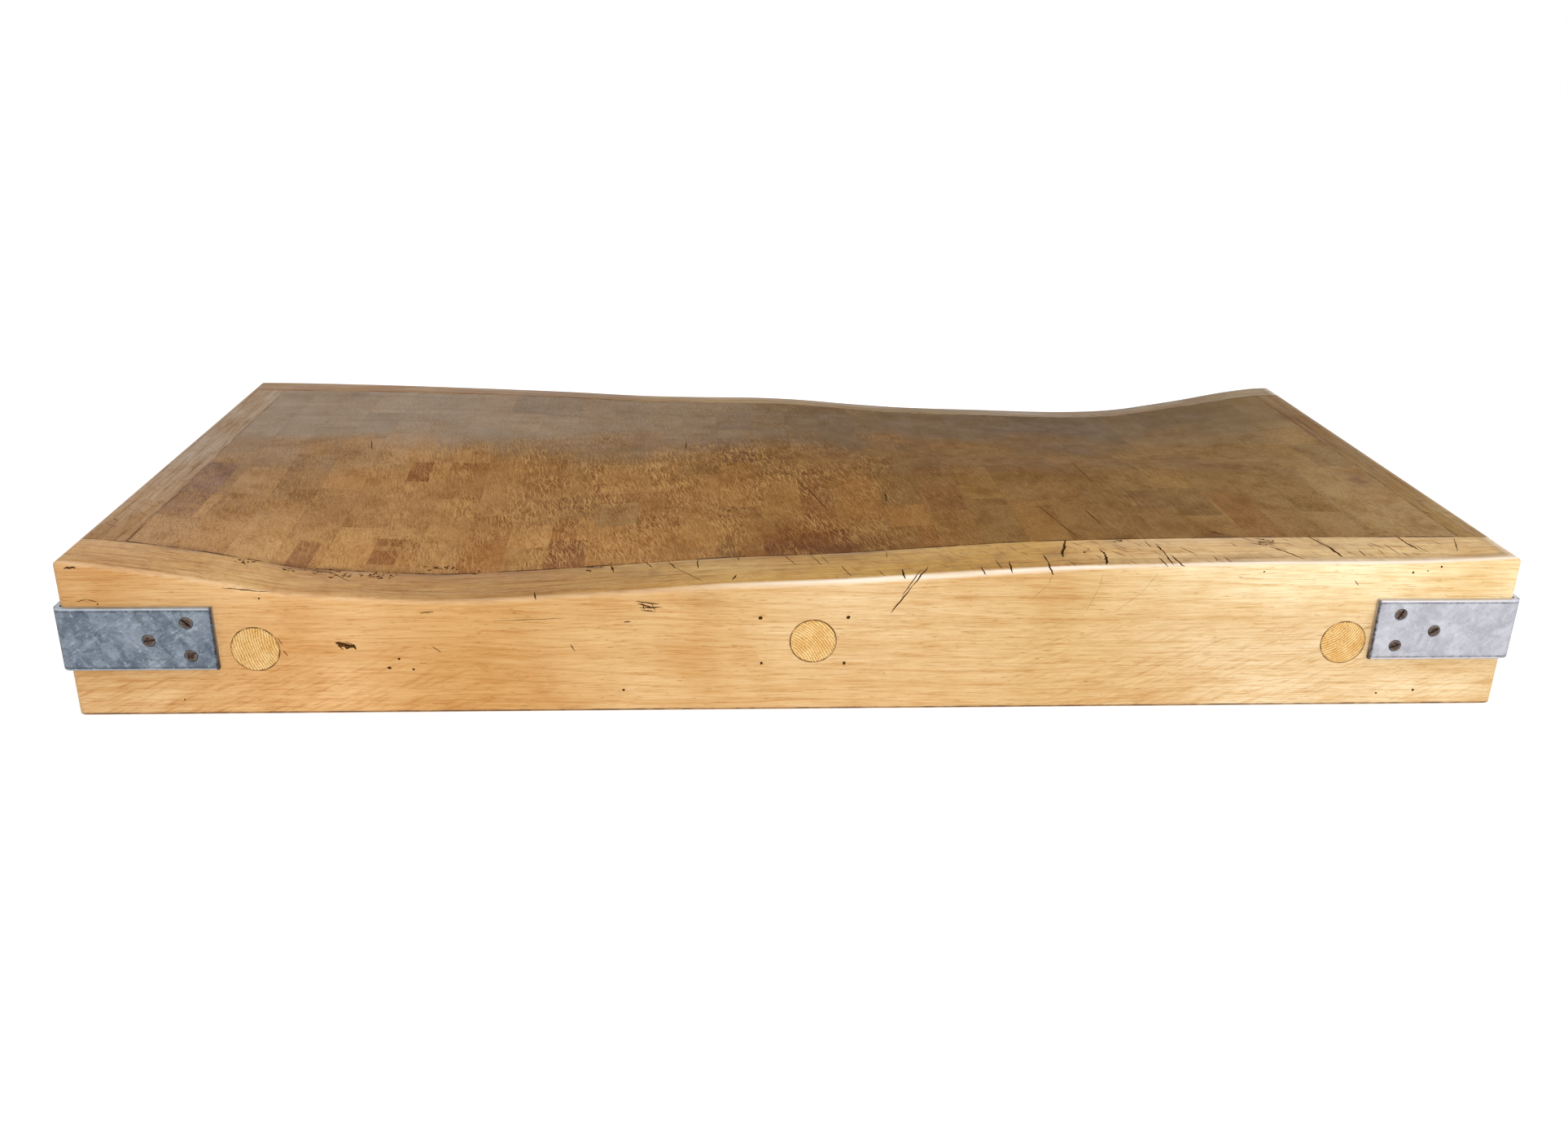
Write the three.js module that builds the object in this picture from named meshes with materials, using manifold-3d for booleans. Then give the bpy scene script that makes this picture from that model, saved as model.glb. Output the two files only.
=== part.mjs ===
// An old butcher's chopping block: an end-grain core in a frame of four boards, with steel straps
// screwed round the corners and long bolts from front to back, sunk behind wooden plugs.
// Years of chopping have worn a hollow at the front left and another at the back right.
// Millimetres. +X runs along the length, the front faces -Y and +Z is up.
// The origin is the middle of the underside.

import * as THREE from 'three';
import { mergeVertices } from 'three/addons/utils/BufferGeometryUtils.js';
import Module from 'manifold-3d';

const wasm = await Module();
wasm.setup();

// Driving dimensions of the wood
const blockLength = 1100;
const blockDepth = 520;
const blockHeight = 125;
const frontRailThickness = 48;
const backRailThickness = 36;
const leftBoardThickness = 36;
const rightBoardThickness = 28;
const arrisRadius = 5;
const cornerRadius = 5;
const bottomChamfer = 1.5;

// Glued end-grain layers in each section of the core, from left to right
const layersPerSection = [2, 2, 3, 2, 2, 3, 2, 3, 2, 2, 3, 2, 2];

// Wear of the chopping face
const frontHollowDepth = 30;
const backHollowDepth = 26;
const frontEdgeDrop = 4.5;
const backEdgeDrop = 3;

// Each curve is a list of [share of the way along, share of the full depth].
const frontHollowShares = [
  [0, 0], [0.035, 0.1], [0.08, 0.34], [0.12, 0.62], [0.15, 0.82], [0.19, 0.91], [0.245, 1],
  [0.3, 0.91], [0.37, 0.74], [0.44, 0.56], [0.52, 0.44], [0.58, 0.3], [0.66, 0.12], [0.75, 0.04],
  [0.85, 0], [1, 0],
];
const backHollowShares = [
  [0, 0], [0.1, 0.02], [0.2, 0.1], [0.29, 0.22], [0.37, 0.38], [0.42, 0.42], [0.48, 0.44],
  [0.52, 0.51], [0.58, 0.71], [0.63, 0.84], [0.7, 0.92], [0.78, 1], [0.82, 0.96], [0.85, 0.85],
  [0.88, 0.65], [0.91, 0.45], [0.95, 0.16], [0.98, 0.02], [1, 0],
];
const frontEdgeShares = [
  [0, 0], [0.05, 0.3], [0.2, 0.4], [0.3, 0.75], [0.5, 0.9], [0.65, 1], [0.9, 1], [0.97, 0.4], [1, 0],
];
const backEdgeShares = [[0, 0], [0.1, 0.4], [0.2, 0.8], [0.3, 1], [0.88, 1], [0.95, 0.5], [1, 0]];

// How much of a hollow's depth is left, going in across the block from the face that it starts at
const reachShares = [
  [0, 1], [0.1, 1], [0.2, 0.88], [0.3, 0.78], [0.4, 0.6], [0.47, 0.37], [0.54, 0.1], [0.6, 0], [1, 0],
];

// Corner straps, bent from flat bar
const strapWidth = 50;
const strapThickness = 4;
const strapReach = 110;
const strapBendRadius = 3;
const leftStrapHeight = 64.5;
const rightStrapHeight = 67;

// Slotted countersunk wood screws, a pair and a single one in each leg of a strap
const screwHeadRadius = 4.5;
const screwHeadRim = 0.4;
const screwConeHeight = 2.4;
const screwShankRadius = 2;
const screwLength = 27;
const screwTipLength = 5;
const screwSlotWidth = 1.2;
const screwSlotDepth = 1.1;
const pairFromEnd = 19;
const pairSpacing = 26.5;
const singleFromPair = 29;
const singleDrop = 0.7;

// Long bolts from front to back, with a domed head, a square neck, a nut and a washer
const boltRadius = 6;
const boltHeadRadius = 15;
const boltHeadHeight = 7;
const boltNeckSide = 12;
const boltNeckLength = 8;
const boltEndPastNut = 3;
const nutAcrossFlats = 19;
const nutThickness = 10;
const washerRadius = 16;
const washerThickness = 3;
const leftBoltHeight = 54.5;
const middleBoltShift = 4;
const middleBoltHeight = 58.5;
const rightBoltHeight = 55;

// Wooden plugs over the sunken bolt ends. The outer ones stand just past the straps.
const plugRadius = 18;
const leftPlugPastStrap = 9;
const rightPlugPastStrap = 3;
const frontPlugThickness = 20;
const backPlugThickness = 8;
const plugSpace = 2;

// Clearances
const fitGap = 0.3;
const overrun = 1;

// Fineness of the curved surfaces
const coreStepsPerLayer = 2;
const coreStepsAcross = 20;
const railSteps = 44;
const railStepsAcross = 3;
const arrisSteps = 3;
const roundSides = 32;
const screwSides = 10;
const pilotSides = 8;
const boltSides = 16;
const nutSides = 6;

// Worked-out places
const halfLength = blockLength / 2;
const halfDepth = blockDepth / 2;
const coreFront = frontRailThickness - halfDepth;
const coreBack = halfDepth - backRailThickness;
const coreLeft = leftBoardThickness - halfLength;
const coreRight = halfLength - rightBoardThickness;
const layerCount = layersPerSection.reduce((sum, count) => sum + count, 0);
const layerThickness = (coreRight - coreLeft) / layerCount;
const pairInset = strapReach - pairFromEnd;
const singleInset = pairInset - singleFromPair;
const leftBoltInset = strapReach + leftPlugPastStrap + plugRadius;
const rightBoltInset = strapReach + rightPlugPastStrap + plugRadius;
const frontBoreDepth = frontPlugThickness + plugSpace + boltHeadHeight;
const backBoreDepth = backPlugThickness + plugSpace + boltEndPastNut + nutThickness + washerThickness;

const railWood = { color: 0xd9a968, roughness: 0.5, metalness: 0 };
const endWood = { color: 0xcf9c5a, roughness: 0.5, metalness: 0 };
const coreWoods = [
  { color: 0xa87a42, roughness: 0.45, metalness: 0 },
  { color: 0xb48548, roughness: 0.45, metalness: 0 },
  { color: 0x9c6f3c, roughness: 0.45, metalness: 0 },
];
const plugWood = { color: 0xc79a4f, roughness: 0.6, metalness: 0 };
const strapSteel = { color: 0x8b929a, roughness: 0.45, metalness: 0.9 };
const screwSteel = { color: 0x8a7866, roughness: 0.5, metalness: 0.8 };
const boltSteel = { color: 0x6f6e6c, roughness: 0.5, metalness: 0.9 };

// A smooth curve through a list of [place, value] points, without overshoot at the ends.
function curveAt(points, place) {
  const last = points.length - 1;
  if (place <= points[0][0]) return points[0][1];
  if (place >= points[last][0]) return points[last][1];
  const next = points.findIndex((point) => point[0] > place);
  const [x0, y0] = points[next - 1];
  const [x1, y1] = points[next];
  const width = x1 - x0;
  const t = (place - x0) / width;
  const startSlope = slopeAt(points, next - 1) * width;
  const endSlope = slopeAt(points, next) * width;
  const rise = t * t * (3 - 2 * t);
  return y0 + (y1 - y0) * rise + startSlope * t * (1 - t) ** 2 - endSlope * t * t * (1 - t);
}

function slopeAt(points, index) {
  if (index === 0 || index === points.length - 1) return 0;
  const before = points[index - 1];
  const here = points[index];
  const after = points[index + 1];
  const turns = (here[1] - before[1]) * (after[1] - here[1]) <= 0;
  return turns ? 0 : (after[1] - before[1]) / (after[0] - before[0]);
}

// How far a rounded edge falls back at a distance in from the face.
function edgeFall(distance, radius) {
  if (distance >= radius) return 0;
  return radius - Math.sqrt(radius ** 2 - (radius - distance) ** 2);
}

// Places across a rounded edge, as distances in from the face.
function edgePlaces(radius) {
  const places = [];
  for (let step = 0; step <= arrisSteps; step += 1) {
    places.push(radius * (1 - Math.cos((step / arrisSteps) * (Math.PI / 2))));
  }
  return places;
}

// Distance to the nearest outer face of the block, in plan, with its rounded upright corners.
function distanceInside(x, y) {
  const toEnd = halfLength - Math.abs(x);
  const toFace = halfDepth - Math.abs(y) - edgeFall(toEnd, cornerRadius);
  return Math.max(0, Math.min(toEnd, toFace));
}

// The worn chopping face, one surface over rails, end boards and core alike.
function topAt(x, y) {
  const along = (x + halfLength) / blockLength;
  const across = (y + halfDepth) / blockDepth;
  const frontWear = curveAt(frontHollowShares, along) * curveAt(reachShares, across);
  const backWear = curveAt(backHollowShares, along) * curveAt(reachShares, 1 - across);
  const inFrontRail = Math.max(0, (coreFront - y) / frontRailThickness);
  const inBackRail = Math.max(0, (y - coreBack) / backRailThickness);
  const frontEdge = curveAt(frontEdgeShares, along) * inFrontRail ** 2;
  const backEdge = curveAt(backEdgeShares, along) * inBackRail ** 2;
  const worn = frontHollowDepth * frontWear + backHollowDepth * backWear;
  const dropped = frontEdgeDrop * frontEdge + backEdgeDrop * backEdge;
  return blockHeight - worn - dropped - edgeFall(distanceInside(x, y), arrisRadius);
}

function bottomAt(x, y) {
  return Math.max(0, bottomChamfer - distanceInside(x, y));
}

// A rail's plan narrows at the block's rounded upright corners.
function planY(x, y) {
  const inset = edgeFall(halfLength - Math.abs(x), cornerRadius);
  if (y < coreFront) return coreFront - (coreFront - y) * (1 - inset / frontRailThickness);
  if (y > coreBack) return coreBack + (y - coreBack) * (1 - inset / backRailThickness);
  return y;
}

// Evenly spaced places from one value to another, both ends included.
function evenPlaces(from, to, steps) {
  const places = [];
  for (let step = 0; step < steps; step += 1) {
    places.push(from + ((to - from) * step) / steps);
  }
  places.push(to);
  return places;
}

// A board between upright sides, lofted along X. Its top and underside follow the block's surfaces.
function boardGeometry(xPlaces, topYPlaces, bottomYPlaces) {
  const positions = [];
  const ringSize = topYPlaces.length + bottomYPlaces.length;
  for (const x of xPlaces) {
    for (const y of bottomYPlaces) {
      const inPlan = planY(x, y);
      positions.push(x, inPlan, bottomAt(x, inPlan));
    }
    for (const y of [...topYPlaces].reverse()) {
      const inPlan = planY(x, y);
      positions.push(x, inPlan, topAt(x, inPlan));
    }
  }
  const indices = [];
  for (let ring = 0; ring < xPlaces.length - 1; ring += 1) {
    for (let point = 0; point < ringSize; point += 1) {
      const here = ring * ringSize + point;
      const beside = ring * ringSize + ((point + 1) % ringSize);
      indices.push(here, beside, beside + ringSize);
      indices.push(here, beside + ringSize, here + ringSize);
    }
  }
  const lastRing = (xPlaces.length - 1) * ringSize;
  for (let point = 1; point < ringSize - 1; point += 1) {
    indices.push(0, point + 1, point);
    indices.push(lastRing, lastRing + point, lastRing + point + 1);
  }
  const geometry = new THREE.BufferGeometry();
  geometry.setAttribute('position', new THREE.Float32BufferAttribute(positions, 3));
  geometry.setIndex(indices);
  return geometry;
}

// A geometry's triangles as a solid for cutting and joining.
function toSolid(geometry) {
  const bare = geometry.clone();
  bare.deleteAttribute('normal');
  bare.deleteAttribute('uv');
  const merged = mergeVertices(bare);
  const corners = [];
  const index = merged.index.array;
  for (let i = 0; i < index.length; i += 3) {
    const [a, b, c] = [index[i], index[i + 1], index[i + 2]];
    if (a !== b && b !== c && c !== a) corners.push(a, b, c);
  }
  return new wasm.Manifold(new wasm.Mesh({
    numProp: 3,
    vertProperties: new Float32Array(merged.attributes.position.array),
    triVerts: new Uint32Array(corners),
  }));
}

function toGeometry(solid) {
  const mesh = solid.getMesh();
  const geometry = new THREE.BufferGeometry();
  geometry.setAttribute('position', new THREE.BufferAttribute(mesh.vertProperties, 3));
  geometry.setIndex(new THREE.BufferAttribute(mesh.triVerts, 1));
  geometry.computeVertexNormals();
  return geometry;
}

function joined(solids) {
  return solids.reduce((sum, solid) => sum.add(solid));
}

function named(name, geometry, material) {
  const mesh = new THREE.Mesh(geometry, new THREE.MeshStandardMaterial(material));
  mesh.name = name;
  return mesh;
}

// A round solid about the Y axis from [radius, place along Y] points.
function turned(profile, sides) {
  const points = profile.map(([radius, place]) => new THREE.Vector2(radius, place));
  return new THREE.LatheGeometry(points, sides);
}

function cylinderBetween(radius, from, to, sides) {
  return turned([[0, from], [radius, from], [radius, to], [0, to]], sides);
}

// The four corners of the block, each a quarter turn on from the one before.
const corners = [
  { name: 'front_left', x: -halfLength, y: -halfDepth, turns: 0, height: leftStrapHeight },
  { name: 'front_right', x: halfLength, y: -halfDepth, turns: 1, height: rightStrapHeight },
  { name: 'back_right', x: halfLength, y: halfDepth, turns: 2, height: rightStrapHeight },
  { name: 'back_left', x: -halfLength, y: halfDepth, turns: 3, height: leftStrapHeight },
];

// Where the screws stand in a strap, seen from its own corner: along the leg and above its middle.
const screwPlaces = [
  { along: pairInset, above: pairSpacing / 2, turn: 0.4 },
  { along: pairInset, above: -pairSpacing / 2, turn: 2.3 },
  { along: singleInset, above: -singleDrop, turn: 1.2 },
];

function cornerGroup(corner) {
  const group = new THREE.Group();
  group.position.set(corner.x, corner.y, corner.height);
  group.rotation.z = (corner.turns * Math.PI) / 2;
  group.updateMatrix();
  return group;
}

// A screw's place in a strap's own frame. Its axis is Y, which turns to X on the second leg.
function placeScrew(object, place, secondLeg) {
  const outside = -fitGap - strapThickness;
  const x = secondLeg ? outside : place.along;
  const y = secondLeg ? place.along : outside;
  object.position.set(x, y, place.above);
  object.rotation.set(0, place.turn, secondLeg ? -Math.PI / 2 : 0, 'ZYX');
  object.updateMatrix();
  return object;
}

function screwGeometry() {
  const body = toSolid(turned([
    [0, 0],
    [screwHeadRadius, 0],
    [screwHeadRadius, screwHeadRim],
    [screwShankRadius, screwHeadRim + screwConeHeight],
    [screwShankRadius, screwLength - screwTipLength],
    [0, screwLength],
  ], screwSides));
  const slotLength = 2 * (screwHeadRadius + overrun);
  const slot = new THREE.BoxGeometry(slotLength, 2 * screwSlotDepth, screwSlotWidth);
  return toGeometry(body.subtract(toSolid(slot)));
}

// The countersunk hole that a screw sits in, through the strap.
function countersinkGeometry() {
  return turned([
    [0, -overrun],
    [screwHeadRadius + fitGap, -overrun],
    [screwHeadRadius + fitGap, screwHeadRim],
    [screwShankRadius + fitGap, screwHeadRim + screwConeHeight],
    [screwShankRadius + fitGap, strapThickness + overrun],
    [0, strapThickness + overrun],
  ], screwSides);
}

// The hole that a screw needs in the wood behind the strap.
function pilotGeometry() {
  return cylinderBetween(screwShankRadius + fitGap, strapThickness, screwLength + fitGap, pilotSides);
}

// A strap in its corner's own frame: one leg along +X, the other along +Y.
function strapGeometry() {
  const inside = -fitGap;
  const outside = inside - strapThickness;
  const centre = inside + strapBendRadius;
  const outline = new THREE.Shape();
  outline.moveTo(strapReach, outside);
  outline.lineTo(strapReach, inside);
  outline.lineTo(centre, inside);
  outline.absarc(centre, centre, strapBendRadius, -Math.PI / 2, -Math.PI, true);
  outline.lineTo(inside, strapReach);
  outline.lineTo(outside, strapReach);
  outline.lineTo(outside, centre);
  outline.absarc(centre, centre, strapBendRadius + strapThickness, Math.PI, Math.PI * 1.5, false);
  const bar = new THREE.ExtrudeGeometry(outline, {
    depth: strapWidth,
    bevelEnabled: false,
    curveSegments: arrisSteps * 2,
  });
  bar.translate(0, 0, -strapWidth / 2);
  const holes = [];
  for (const secondLeg of [false, true]) {
    for (const place of screwPlaces) {
      const hole = placeScrew(new THREE.Object3D(), place, secondLeg);
      holes.push(toSolid(countersinkGeometry().applyMatrix4(hole.matrix)));
    }
  }
  return toGeometry(toSolid(bar).subtract(joined(holes)));
}

function strapAssembly(corner, strapShape, screwShape) {
  const group = cornerGroup(corner);
  group.add(named(`corner_strap_${corner.name}`, strapShape, strapSteel));
  let number = 0;
  for (const secondLeg of [false, true]) {
    for (const place of screwPlaces) {
      number += 1;
      const screw = named(`strap_screw_${corner.name}_${number}`, screwShape, screwSteel);
      group.add(placeScrew(screw, place, secondLeg));
    }
  }
  return group;
}

// Every pilot hole in the wood, as one cutting solid.
function pilotHoles() {
  const holes = [];
  for (const corner of corners) {
    const group = cornerGroup(corner);
    for (const secondLeg of [false, true]) {
      for (const place of screwPlaces) {
        const hole = placeScrew(new THREE.Object3D(), place, secondLeg);
        holes.push(toSolid(pilotGeometry().applyMatrix4(hole.matrix).applyMatrix4(group.matrix)));
      }
    }
  }
  return joined(holes);
}

// The long bolts, each in its own group whose Y axis is the bolt's.
const bolts = [
  { name: 'left', x: leftBoltInset - halfLength, z: leftBoltHeight },
  { name: 'middle', x: middleBoltShift, z: middleBoltHeight },
  { name: 'right', x: halfLength - rightBoltInset, z: rightBoltHeight },
];
const frontBoreFloor = frontBoreDepth - halfDepth;
const backBoreFloor = halfDepth - backBoreDepth;
const boltEnd = backBoreFloor + washerThickness + nutThickness + boltEndPastNut;

// A domed head is part of a ball that rises from the rim to the crown.
function domeProfile() {
  const ball = (boltHeadRadius ** 2 + boltHeadHeight ** 2) / (2 * boltHeadHeight);
  const widest = Math.asin(boltHeadRadius / ball);
  const profile = [];
  for (let step = 0; step < arrisSteps; step += 1) {
    const angle = (widest * step) / arrisSteps;
    const height = boltHeadHeight - ball + ball * Math.cos(angle);
    profile.push([ball * Math.sin(angle), frontBoreFloor - height]);
  }
  return profile;
}

function boltGeometry() {
  const body = toSolid(turned([
    ...domeProfile(),
    [boltHeadRadius, frontBoreFloor],
    [boltRadius, frontBoreFloor],
    [boltRadius, boltEnd],
    [0, boltEnd],
  ], boltSides));
  const neck = new THREE.BoxGeometry(boltNeckSide, boltNeckLength + overrun, boltNeckSide);
  neck.translate(0, frontBoreFloor + (boltNeckLength - overrun) / 2, 0);
  return toGeometry(body.add(toSolid(neck)));
}

// Everything that is bored out of the wood for one bolt and its plugs.
function boltHole() {
  const boreRadius = plugRadius + fitGap;
  const frontFace = -halfDepth - overrun;
  const backFace = halfDepth + overrun;
  const shankStart = frontBoreFloor - overrun;
  const shank = cylinderBetween(boltRadius + fitGap, shankStart, backBoreFloor + overrun, boltSides);
  const frontBore = cylinderBetween(boreRadius, frontFace, frontBoreFloor, roundSides);
  const backBore = cylinderBetween(boreRadius, backBoreFloor, backFace, roundSides);
  const neckSide = boltNeckSide + 2 * fitGap;
  const neckDepth = boltNeckLength + fitGap;
  const neck = new THREE.BoxGeometry(neckSide, neckDepth + overrun, neckSide);
  neck.translate(0, frontBoreFloor + (neckDepth - overrun) / 2, 0);
  return joined([shank, frontBore, backBore, neck].map(toSolid));
}

function boltHoles() {
  return joined(bolts.map((bolt) => boltHole().translate([bolt.x, 0, bolt.z])));
}

function washerGeometry() {
  const bore = boltRadius + fitGap;
  const far = backBoreFloor + washerThickness;
  const profile = [[bore, backBoreFloor], [washerRadius, backBoreFloor], [washerRadius, far], [bore, far]];
  return turned([...profile, profile[0]], boltSides);
}

function nutGeometry() {
  const near = backBoreFloor + washerThickness;
  const far = near + nutThickness;
  const cornerDistance = nutAcrossFlats / 2 / Math.cos(Math.PI / nutSides);
  const prism = toSolid(cylinderBetween(cornerDistance, near, far, nutSides));
  const bore = cylinderBetween(boltRadius + fitGap, near - overrun, far + overrun, boltSides);
  return toGeometry(prism.subtract(toSolid(bore)));
}

function boltAssembly(bolt, shapes) {
  const group = new THREE.Group();
  group.position.set(bolt.x, 0, bolt.z);
  group.add(named(`tie_bolt_${bolt.name}`, shapes.bolt, boltSteel));
  group.add(named(`tie_bolt_washer_${bolt.name}`, shapes.washer, boltSteel));
  group.add(named(`tie_bolt_nut_${bolt.name}`, shapes.nut, boltSteel));
  group.add(named(`front_plug_${bolt.name}`, shapes.frontPlug, plugWood));
  group.add(named(`back_plug_${bolt.name}`, shapes.backPlug, plugWood));
  return group;
}

const hardwareHoles = pilotHoles().add(boltHoles());

function boredBoard(name, geometry, material) {
  return named(name, toGeometry(toSolid(geometry).subtract(hardwareHoles)), material);
}

// Rails run the whole length. Their ends and their outer top edge are rounded.
function railXPlaces() {
  const ends = edgePlaces(Math.max(arrisRadius, cornerRadius));
  const straight = evenPlaces(ends[arrisSteps] - halfLength, halfLength - ends[arrisSteps], railSteps);
  const leftEnd = ends.slice(0, arrisSteps).map((place) => place - halfLength);
  const rightEnd = ends.slice(0, arrisSteps).map((place) => halfLength - place).reverse();
  return [...leftEnd, ...straight, ...rightEnd];
}

function frontRail() {
  const edge = edgePlaces(arrisRadius).map((place) => place - halfDepth);
  const inner = evenPlaces(edge[arrisSteps], coreFront, railStepsAcross).slice(1);
  const underside = [-halfDepth, bottomChamfer - halfDepth, coreFront];
  return boredBoard('front_rail', boardGeometry(railXPlaces(), [...edge, ...inner], underside), railWood);
}

function backRail() {
  const edge = edgePlaces(arrisRadius).map((place) => halfDepth - place).reverse();
  const inner = evenPlaces(coreBack, edge[0], railStepsAcross).slice(0, railStepsAcross);
  const underside = [coreBack, halfDepth - bottomChamfer, halfDepth];
  return boredBoard('back_rail', boardGeometry(railXPlaces(), [...inner, ...edge], underside), railWood);
}

// End boards butt between the rails, with a rounded top edge on the outside.
function endBoard(name, side, thickness) {
  const outside = [bottomChamfer, ...edgePlaces(arrisRadius), thickness];
  const places = [...outside].sort((a, b) => a - b).map((place) => side * (halfLength - place));
  if (side > 0) places.reverse();
  const across = evenPlaces(coreFront, coreBack, coreStepsAcross);
  return boredBoard(name, boardGeometry(places, across, [coreFront, coreBack]), endWood);
}

// The core's sections stand side by side, and each ends at a glue joint between two layers.
function coreSections() {
  const across = evenPlaces(coreFront, coreBack, coreStepsAcross);
  const sections = [];
  let layersBefore = 0;
  layersPerSection.forEach((layers, index) => {
    const from = coreLeft + layersBefore * layerThickness;
    const to = coreLeft + (layersBefore + layers) * layerThickness;
    const places = evenPlaces(from, to, layers * coreStepsPerLayer);
    const name = `core_section_${String(index + 1).padStart(2, '0')}`;
    const wood = coreWoods[index % coreWoods.length];
    sections.push(boredBoard(name, boardGeometry(places, across, [coreFront, coreBack]), wood));
    layersBefore += layers;
  });
  return sections;
}

function straps() {
  const strapShape = strapGeometry();
  const screwShape = screwGeometry();
  return corners.map((corner) => strapAssembly(corner, strapShape, screwShape));
}

function tieBolts() {
  const shapes = {
    bolt: boltGeometry(),
    washer: washerGeometry(),
    nut: nutGeometry(),
    frontPlug: cylinderBetween(plugRadius, -halfDepth, frontPlugThickness - halfDepth, roundSides),
    backPlug: cylinderBetween(plugRadius, halfDepth - backPlugThickness, halfDepth, roundSides),
  };
  return bolts.map((bolt) => boltAssembly(bolt, shapes));
}

const group = new THREE.Group();
group.add(frontRail(), backRail());
group.add(endBoard('left_end_board', -1, leftBoardThickness));
group.add(endBoard('right_end_board', 1, rightBoardThickness));
group.add(...coreSections());
group.add(...straps());
group.add(...tieBolts());

export default group;
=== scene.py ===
"""An old butcher's chopping block: an end-grain core of upright staves in a frame of four boards, with
steel straps screwed round its corners. Every mesh here is built on the same worn surface as the solids.
Metres. +X runs along the length, the front faces -Y and +Z is up."""

import math
import random

import bmesh
import bpy
from mathutils import Matrix, Vector, noise
from mathutils.bvhtree import BVHTree


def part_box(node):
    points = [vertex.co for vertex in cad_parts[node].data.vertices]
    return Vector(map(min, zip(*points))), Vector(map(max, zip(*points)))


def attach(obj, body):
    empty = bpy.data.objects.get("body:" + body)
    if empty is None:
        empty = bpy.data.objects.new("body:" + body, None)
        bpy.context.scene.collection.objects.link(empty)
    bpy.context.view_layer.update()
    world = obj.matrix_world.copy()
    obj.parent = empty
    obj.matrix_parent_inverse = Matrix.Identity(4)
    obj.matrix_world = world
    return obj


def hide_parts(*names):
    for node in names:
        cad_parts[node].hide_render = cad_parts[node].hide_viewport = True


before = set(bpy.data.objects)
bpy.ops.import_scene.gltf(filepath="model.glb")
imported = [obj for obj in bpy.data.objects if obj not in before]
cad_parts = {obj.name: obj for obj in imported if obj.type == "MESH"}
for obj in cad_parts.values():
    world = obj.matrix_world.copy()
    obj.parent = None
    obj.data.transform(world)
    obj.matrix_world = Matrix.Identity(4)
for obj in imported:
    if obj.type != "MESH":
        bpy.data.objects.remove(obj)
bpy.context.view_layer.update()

MM = 0.001
BODY = "root"

# Places and sizes read from the frame
HALF_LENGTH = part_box("front_rail")[1].x
HALF_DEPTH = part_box("back_rail")[1].y
BLOCK_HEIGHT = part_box("front_rail")[1].z
CORE_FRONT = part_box("front_rail")[1].y
CORE_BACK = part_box("back_rail")[0].y
CORE_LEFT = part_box("left_end_board")[1].x
CORE_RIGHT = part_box("right_end_board")[0].x
FRONT_RAIL = CORE_FRONT + HALF_DEPTH
BACK_RAIL = HALF_DEPTH - CORE_BACK
LENGTH = 2 * HALF_LENGTH
DEPTH = 2 * HALF_DEPTH
CORNERS = ("front_left", "front_right", "back_right", "back_left")
BOLTS = ("left", "middle", "right")
SECTIONS = sorted(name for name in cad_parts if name.startswith("core_section"))

# The same wear and edges as in the solids
FRONT_HOLLOW_DEPTH = 30 * MM
BACK_HOLLOW_DEPTH = 26 * MM
FRONT_EDGE_DROP = 4.5 * MM
BACK_EDGE_DROP = 3 * MM
ARRIS_RADIUS = 5 * MM
CORNER_RADIUS = 5 * MM
BOTTOM_CHAMFER = 1.5 * MM
UPPER_PART = 60 * MM
FRONT_HOLLOW_SHARES = (
    (0, 0), (0.035, 0.1), (0.08, 0.34), (0.12, 0.62), (0.15, 0.82), (0.19, 0.91), (0.245, 1),
    (0.3, 0.91), (0.37, 0.74), (0.44, 0.56), (0.52, 0.44), (0.58, 0.3), (0.66, 0.12), (0.75, 0.04),
    (0.85, 0), (1, 0),
)
BACK_HOLLOW_SHARES = (
    (0, 0), (0.1, 0.02), (0.2, 0.1), (0.29, 0.22), (0.37, 0.38), (0.42, 0.42), (0.48, 0.44),
    (0.52, 0.51), (0.58, 0.71), (0.63, 0.84), (0.7, 0.92), (0.78, 1), (0.82, 0.96), (0.85, 0.85),
    (0.88, 0.65), (0.91, 0.45), (0.95, 0.16), (0.98, 0.02), (1, 0),
)
FRONT_EDGE_SHARES = (
    (0, 0), (0.05, 0.3), (0.2, 0.4), (0.3, 0.75), (0.5, 0.9), (0.65, 1), (0.9, 1), (0.97, 0.4), (1, 0),
)
BACK_EDGE_SHARES = ((0, 0), (0.1, 0.4), (0.2, 0.8), (0.3, 1), (0.88, 1), (0.95, 0.5), (1, 0))
REACH_SHARES = (
    (0, 1), (0.1, 1), (0.2, 0.88), (0.3, 0.78), (0.4, 0.6), (0.47, 0.37), (0.54, 0.1), (0.6, 0), (1, 0),
)

# Staves of the core
LAYER_COUNT = 30
LAYER = (CORE_RIGHT - CORE_LEFT) / LAYER_COUNT
STAVE_SHORTEST = 40 * MM
STAVE_LONGEST = 128 * MM
STAVE_GAP = 0.05 * MM
STAVE_EDGE = 0.6 * MM
STAVE_RIM = 1.4 * MM
STAVE_EDGE_DROP = 0.04 * MM
BORDER_DROP = 0.25 * MM
STAVE_CELL = 6 * MM
STAVE_SLACK = 6 * MM
STAVE_SLIVER = 1 * MM
PITH_REACH = (60 * MM, 90 * MM)
STAVE_SEED = 41

# Camera, fitted to the photograph
PHOTO_WIDTH = 1926
PHOTO_HEIGHT = 1406
FOCAL_PIXELS = 1701.06
SENSOR_WIDTH = 36
CAMERA_PLACE = Vector((-80.1, -1215.2, 504.2)) * MM
CAMERA_PITCH = 0.386101
CAMERA_YAW = 0.0635072
CAMERA_ROLL = -0.0212776


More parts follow.
